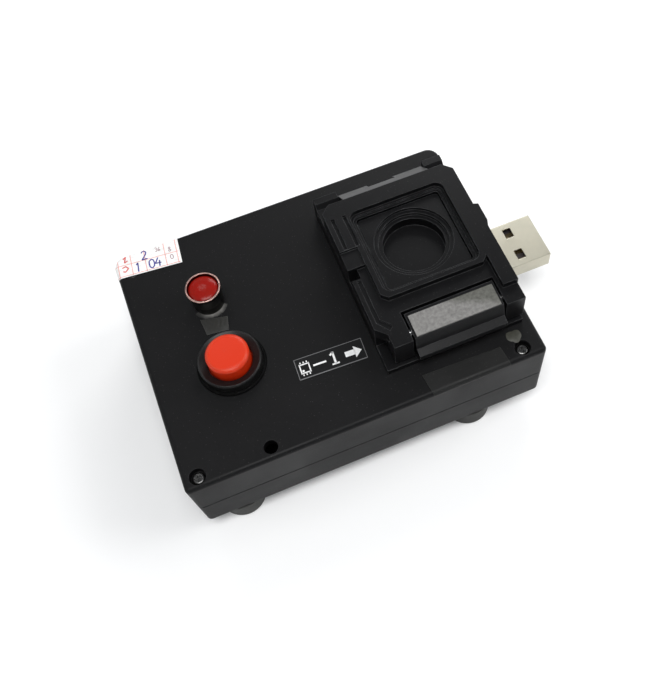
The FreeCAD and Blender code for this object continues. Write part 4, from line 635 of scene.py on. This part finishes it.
# Pen strokes of each digit, in a frame one unit above and below its middle.
DIGITS = {
    "0": [[(0.0, 1.0), (-0.45, 0.6), (-0.5, 0.0), (-0.4, -0.7), (0.0, -1.0),
           (0.42, -0.6), (0.5, 0.1), (0.35, 0.8), (0.0, 1.0)]],
    "1": [[(-0.25, 0.6), (0.1, 1.0), (0.05, 0.0), (0.0, -1.0)]],
    "2": [[(-0.45, 0.6), (0.0, 1.0), (0.45, 0.6), (0.3, 0.1), (-0.5, -0.95), (0.1, -0.85), (0.55, -0.9)]],
    "3": [[(-0.4, 0.85), (0.1, 1.0), (0.4, 0.6), (0.0, 0.15), (0.45, -0.35), (0.15, -0.95), (-0.45, -0.75)]],
    "4": [[(0.1, 1.0), (-0.55, -0.2), (0.6, -0.25)], [(0.3, 0.35), (0.2, -1.0)]],
    "6": [[(0.35, 1.0), (-0.2, 0.4), (-0.45, -0.4), (-0.1, -0.95), (0.4, -0.6),
           (0.25, -0.1), (-0.35, -0.25)]],
    "8": [[(0.0, 0.1), (-0.4, 0.55), (0.0, 1.0), (0.4, 0.6), (-0.4, -0.5), (0.0, -1.0),
           (0.45, -0.5), (0.0, 0.1)]],
}


def number(text, u, v, high, width):
    """The strokes of a number, its first digit centred on (u, v). Each digit
    stands 0.6 of its height past the one before it."""
    strokes = []
    for place_in_row, digit in enumerate(text):
        for line in DIGITS[digit]:
            path = np.array(line) * high / 2 + (u + place_in_row * 0.6 * high, v)
            strokes.append(pen_line(path, width, count=30))
    return strokes


sticker_long, sticker_wide, sticker_thick = 16.3, 8.6, 0.08
sticker_corner, sticker_angle = (-32.5, 22.8), -5.5
on_sticker = place_plane(sticker_corner, sticker_angle, lift=0.015)
over_sticker = place_plane(sticker_corner, sticker_angle, lift=0.10)
u, v = np.meshgrid(np.linspace(-sticker_long, 0, 120), np.linspace(0, sticker_wide, 90), indexing="ij")
sticker = sheet_piece("record_sticker", [on_sticker(np.stack([u, v], axis=-1))], sticker_thick)
sticker.data.polygons.foreach_set("use_smooth", np.full(len(sticker.data.polygons), True))
sticker.data.materials.append(paint_like("sticker paper", (0.80, 0.80, 0.79), rough=0.7))
column_places, row_places = (0.7, 3.4, 8.0, 11.2, 14.2), (0.35, 3.3)
ruled = [straight((-at, 0.15), (-at, sticker_wide - 0.2), width=0.16, count=40) for at in column_places]
ruled += [straight((-sticker_long + 0.3, at), (-0.3, at), width=0.14, count=60) for at in row_places]
rules = sheet_piece("sticker_rules", [over_sticker(line) for line in ruled], thick=0.01)
rules.data.materials.append(paint_like("faded red print", (0.72, 0.30, 0.27), rough=0.6))
upper_stamp = [(-12.9, 4.9), (-12.2, 5.6), (-12.7, 3.9), (-11.9, 4.3)]
lower_stamp = [(-13.4, 2.6), (-12.6, 2.9), (-12.0, 2.2), (-12.8, 1.4), (-13.3, 1.7)]
stamp = [pen_line(upper_stamp, width=0.30, count=20), pen_line(lower_stamp, width=0.32, count=24)]
stamps = sheet_piece("sticker_stamp", [over_sticker(line) for line in stamp], thick=0.012)
stamps.data.materials.append(paint_like("stamp ink", (0.60, 0.13, 0.12), rough=0.6))
written = number("2", -8.1, 4.6, high=2.5, width=0.30)
written += number("1", -9.9, 1.8, high=2.4, width=0.30)
written += number("04", -6.7, 1.8, high=2.4, width=0.30)
pen = sheet_piece("sticker_pen", [over_sticker(line) for line in written], thick=0.014)
pen.data.materials.append(paint_like("blue pen", (0.06, 0.05, 0.26), rough=0.45))
printed = number("36", -5.2, 5.2, high=1.1, width=0.16)
printed += number("8", -2.2, 4.4, high=1.3, width=0.18)
printed += number("0", -2.0, 2.2, high=1.3, width=0.18)
faint = sheet_piece("sticker_print", [over_sticker(line) for line in printed], thick=0.012)
faint.data.materials.append(paint_like("grey print", (0.34, 0.22, 0.24), rough=0.6))


# Pin label: a black strip of printed tape in front of the socket, with a thin
# grey border. A package with one pin marked, a dash, a 1 and an arrow show
# where pin one goes.
def disc(u, v, radius, count=16):
    """A flat round mark: (u + r cos t, v + r sin t)."""
    t = np.linspace(0, 2 * pi, count, endpoint=False)
    return np.stack([u + radius * np.cos(t), v + radius * np.sin(t)], axis=1)


def both_ways(start, end, middle, width):
    """A ruled line and its mirror image in v, about a middle (u, v)."""
    return [straight((middle[0] + start[0], middle[1] + side * start[1]),
                     (middle[0] + end[0], middle[1] + side * end[1]), width) for side in (-1, 1)]


label_long, label_wide, label_thick = 15.2, 5.1, 0.08
label_middle, label_angle = (-10.22, -13.73), -2.6
on_label = place_plane(label_middle, label_angle, lift=0.012)
over_label = place_plane(label_middle, label_angle, lift=0.095)
half_u, half_v = label_long / 2, label_wide / 2
u, v = np.meshgrid(np.linspace(-half_u, half_u, 16), np.linspace(-half_v, half_v, 8), indexing="ij")
label = sheet_piece("pin_label", [on_label(np.stack([u, v], axis=-1))], label_thick)
label.data.materials.append(paint_like("black label tape", (0.004, 0.004, 0.0045), rough=0.35, glint=0.25))
border_inset = 0.12
rim_u, rim_v = half_u - border_inset, half_v - border_inset
border = [straight((-rim_u, -rim_v), (rim_u, -rim_v), width=0.20),
          straight((-rim_u, rim_v), (rim_u, rim_v), width=0.12),
          straight((-rim_u, -rim_v), (-rim_u, rim_v), width=0.14),
          straight((rim_u, -rim_v), (rim_u, rim_v), width=0.12)]
edge_print = sheet_piece("label_border", [over_label(line) for line in border], thick=0.01)
edge_print.data.materials.append(paint_like("grey label print", (0.16, 0.16, 0.165), rough=0.5))

# The marks: a square package with short pins above and below and a dot, a dash,
# a 1 of a flag, a stem and a foot, and an arrow of a shaft and a head.
package = (-5.7, -0.15)
package_u, package_v = package
half_side, side_reach, side_width = 1.0, 1.18, 0.26
pin_gap, pin_start, pin_end, pin_width = 0.7, 1.25, 1.65, 0.24
dot_inset, dot_radius = 0.5, 0.26
marks = both_ways((-half_side, half_side), (half_side, half_side), package, side_width)
marks += [straight((package_u + side * half_side, package_v - side_reach),
                   (package_u + side * half_side, package_v + side_reach), side_width) for side in (-1, 1)]
for step in (-pin_gap, 0.0, pin_gap):
    marks += both_ways((step, pin_start), (step, pin_end), package, pin_width)
marks += [disc(package_u - dot_inset, package_v - dot_inset, dot_radius)]
dash = straight((-3.9, -0.15), (-1.0, -0.15), width=0.42)
flag = straight((0.1, 0.8), (0.85, 1.45), width=0.42)
stem = straight((0.8, -1.4), (0.8, 1.5), width=0.46)
foot = straight((0.0, -1.4), (1.6, -1.4), width=0.36)
shaft = straight((3.2, -0.2), (5.4, -0.2), width=1.25)
head = np.array([(5.3, -1.6), (6.9, -0.2), (5.3, 1.2)])
marks += [dash, flag, stem, foot, shaft, head]
white_print = sheet_piece("label_marks", [over_label(mark) for mark in marks], thick=0.014)
white_print.data.materials.append(paint_like("white label print", (0.80, 0.80, 0.80), rough=0.5))


# Marks on the cover: a patch of clear film between the lamp and the button, and
# three pieces of painted light: a pale grey strip in front of the socket, a pale
# patch at the lamp's foot and a low pale mound by the front right screw, which
# are painted reflections on the cover's top.
def patch_grid(corners, rows, columns):
    """A grid between four corners by bilinear blending."""
    a, b, c, d = (np.array(corner, float) for corner in corners)
    s, t = np.meshgrid(np.linspace(0, 1, rows), np.linspace(0, 1, columns), indexing="ij")
    s, t = s[..., None], t[..., None]
    return (a * (1 - s) + b * s) * (1 - t) + (d * (1 - s) + c * s) * t


film_corners = [(-32.8, 2.5), (-28.0, 1.8), (-27.2, 5.2), (-33.1, 6.7)]
film_grid = patch_grid(film_corners, rows=40, columns=28)
film_x, film_y = film_grid[..., 0], film_grid[..., 1]
film_lift, wrinkle_height = 0.02, 0.03
wrinkles = film_lift + wrinkle_height * np.sin(film_x * 3.1 + 0.8 * np.sin(film_y * 2.3)) ** 2
film = sheet_piece("clear_film", [on_cover(film_x, film_y, wrinkles)], thick=0.02)
film.data.materials.append(moulded_plastic(
    "clear film", colour=(0.020, 0.020, 0.018), worn=(0.06, 0.06, 0.055),
    rough=0.30, smudged=0.5, edge_radius=0.2 * mm, grain=700.0, depth=0.060 * mm))
# A pale grey strip in front of the socket: a painted reflection on the cover's top.
strip_corners = [(6.6, -30.6), (24.2, -30.3), (23.7, -25.5), (6.0, -25.0)]
strip_grid = patch_grid(strip_corners, rows=60, columns=30)
strip = sheet_piece("painted_reflection_strip", [on_cover(strip_grid[..., 0], strip_grid[..., 1], lift=0.012)], thick=0.05)
strip.data.materials.append(moulded_plastic(
    "painted reflection strip", colour=(0.009, 0.009, 0.0088), worn=(0.06, 0.062, 0.055),
    rough=0.42, smudged=0.55, edge_radius=0.2 * mm, grain=900.0, depth=0.030 * mm, glint=0.22))


def painted_lamp_reflection_material():
    """A painted reflection of the lamp holder's light on the case: pale grey on the
    case's black. It thins with the distance from the lamp's axis, made ragged by
    noise, and towards both ends of the patch, away from its middle."""
    material, nodes, link, shader = new_material("painted lamp reflection at the foot")
    shader.inputs["Roughness"].default_value = 0.6
    shader.inputs["Specular IOR Level"].default_value = 0.2
    reflection_middle_x, reflection_middle_y = lamp_x + 0.7 * mm, lamp_y - 3.7 * mm
    place = add_node(nodes, "TexCoord")
    spread = add_node(nodes, "VectorMath", operation="DISTANCE", in_1=(lamp_x, lamp_y, box_top * mm))
    ragged_noise = add_node(nodes, "TexNoise", Scale=1400.0, Detail=4.0)
    ragged_offset = ramp(nodes, 0.3, 0.7, -0.18 * mm, 0.18 * mm)
    ragged = add_node(nodes, "Math", operation="ADD")
    thin = ramp(nodes, 3.5 * mm, 4.5 * mm, 1.0, 0.0)
    along = add_node(nodes, "VectorMath", operation="DISTANCE", in_1=(reflection_middle_x, reflection_middle_y, box_top * mm))
    ends = ramp(nodes, 1.4 * mm, 3.6 * mm, 1.0, 0.2)
    reflection_share = add_node(nodes, "Math", operation="MULTIPLY")
    # The case's own black, and the pale grey of the painted reflection.
    bare_case, painted_reflection_colour = (0.0055, 0.0055, 0.0058, 1), (0.16, 0.156, 0.147, 1)
    fade = add_node(nodes, "Mix", data_type="RGBA", A=bare_case, B=painted_reflection_colour)
    link(place.outputs["Object"], spread.inputs[0])
    link(place.outputs["Object"], ragged_noise.inputs["Vector"])
    link(ragged_noise.outputs["Fac"], ragged_offset.inputs[0])
    link(spread.outputs["Value"], ragged.inputs[0])
    link(ragged_offset.outputs["Result"], ragged.inputs[1])
    link(ragged.outputs["Value"], thin.inputs[0])
    link(place.outputs["Object"], along.inputs[0])
    link(along.outputs["Value"], ends.inputs[0])
    link(thin.outputs["Result"], reflection_share.inputs[0])
    link(ends.outputs["Result"], reflection_share.inputs[1])
    link(reflection_share.outputs["Value"], fade.inputs["Factor"])
    link(fade.outputs["Result"], shader.inputs["Base Color"])
    return material


# The painted reflection is a ring's part about the lamp, from 3.36 mm out to 4.5 mm,
# which narrows away from its middle at -92 degrees.
reflection_inner, reflection_outer, reflection_middle_angle, half_turn = 3.36, 4.5, -92, 60
far, way = np.meshgrid(np.linspace(reflection_inner, reflection_outer, 10),
                       np.linspace(reflection_middle_angle - half_turn, reflection_middle_angle + half_turn, 60), indexing="ij")
narrowing = 0.25 * ((way - reflection_middle_angle) / half_turn) ** 2
far = far - narrowing * (far - reflection_inner)
reflection_x = lamp_x / mm + far * np.cos(np.radians(way))
reflection_y = lamp_y / mm + far * np.sin(np.radians(way))
# The piece that carries the painted reflection at the lamp's foot.
dust = sheet_piece("painted_lamp_reflection", [on_cover(reflection_x, reflection_y, lift=0.012)], thick=0.02)
dust.data.materials.append(painted_lamp_reflection_material())


def blob(centre, reach, high):
    """A low mound over a square grid (a, b) bent to a disc, x = a sqrt(1 - b^2 / 2)
    and y = b sqrt(1 - a^2 / 2). With t the angle there, a point is the centre
    + R(t) (x, y), where R(t) runs through the given reaches, and its height is
    h (1 - x^2 - y^2)."""
    count = 26
    a, b = np.meshgrid(np.linspace(-1, 1, count), np.linspace(-1, 1, count), indexing="ij")
    x = a * np.sqrt(1 - b ** 2 / 2)
    y = b * np.sqrt(1 - a ** 2 / 2)
    t = np.arctan2(y, x) % (2 * pi)
    outer = np.interp(t, np.linspace(0, 2 * pi, len(reach) + 1), [*reach, reach[0]])
    grid = on_cover(centre[0] + outer * x, centre[1] + outer * y, lift=0.01)
    grid[..., 2] += high * (1 - x ** 2 - y ** 2) * mm
    return grid


# A low pale grey mound by the front right screw: a painted reflection of the plug.
plug_reflection_middle, plug_reflection_reach = (27.6, -24.6), (1.5, 1.8, 1.4, 2.0, 1.7, 1.2, 1.5, 1.2)
glue = sheet_piece("painted_plug_reflection", [blob(plug_reflection_middle, plug_reflection_reach, high=0.22)], thick=0.02)
glue.data.materials.append(paint_like("painted plug reflection", (0.045, 0.045, 0.036), rough=0.45, depth=0.060 * mm))
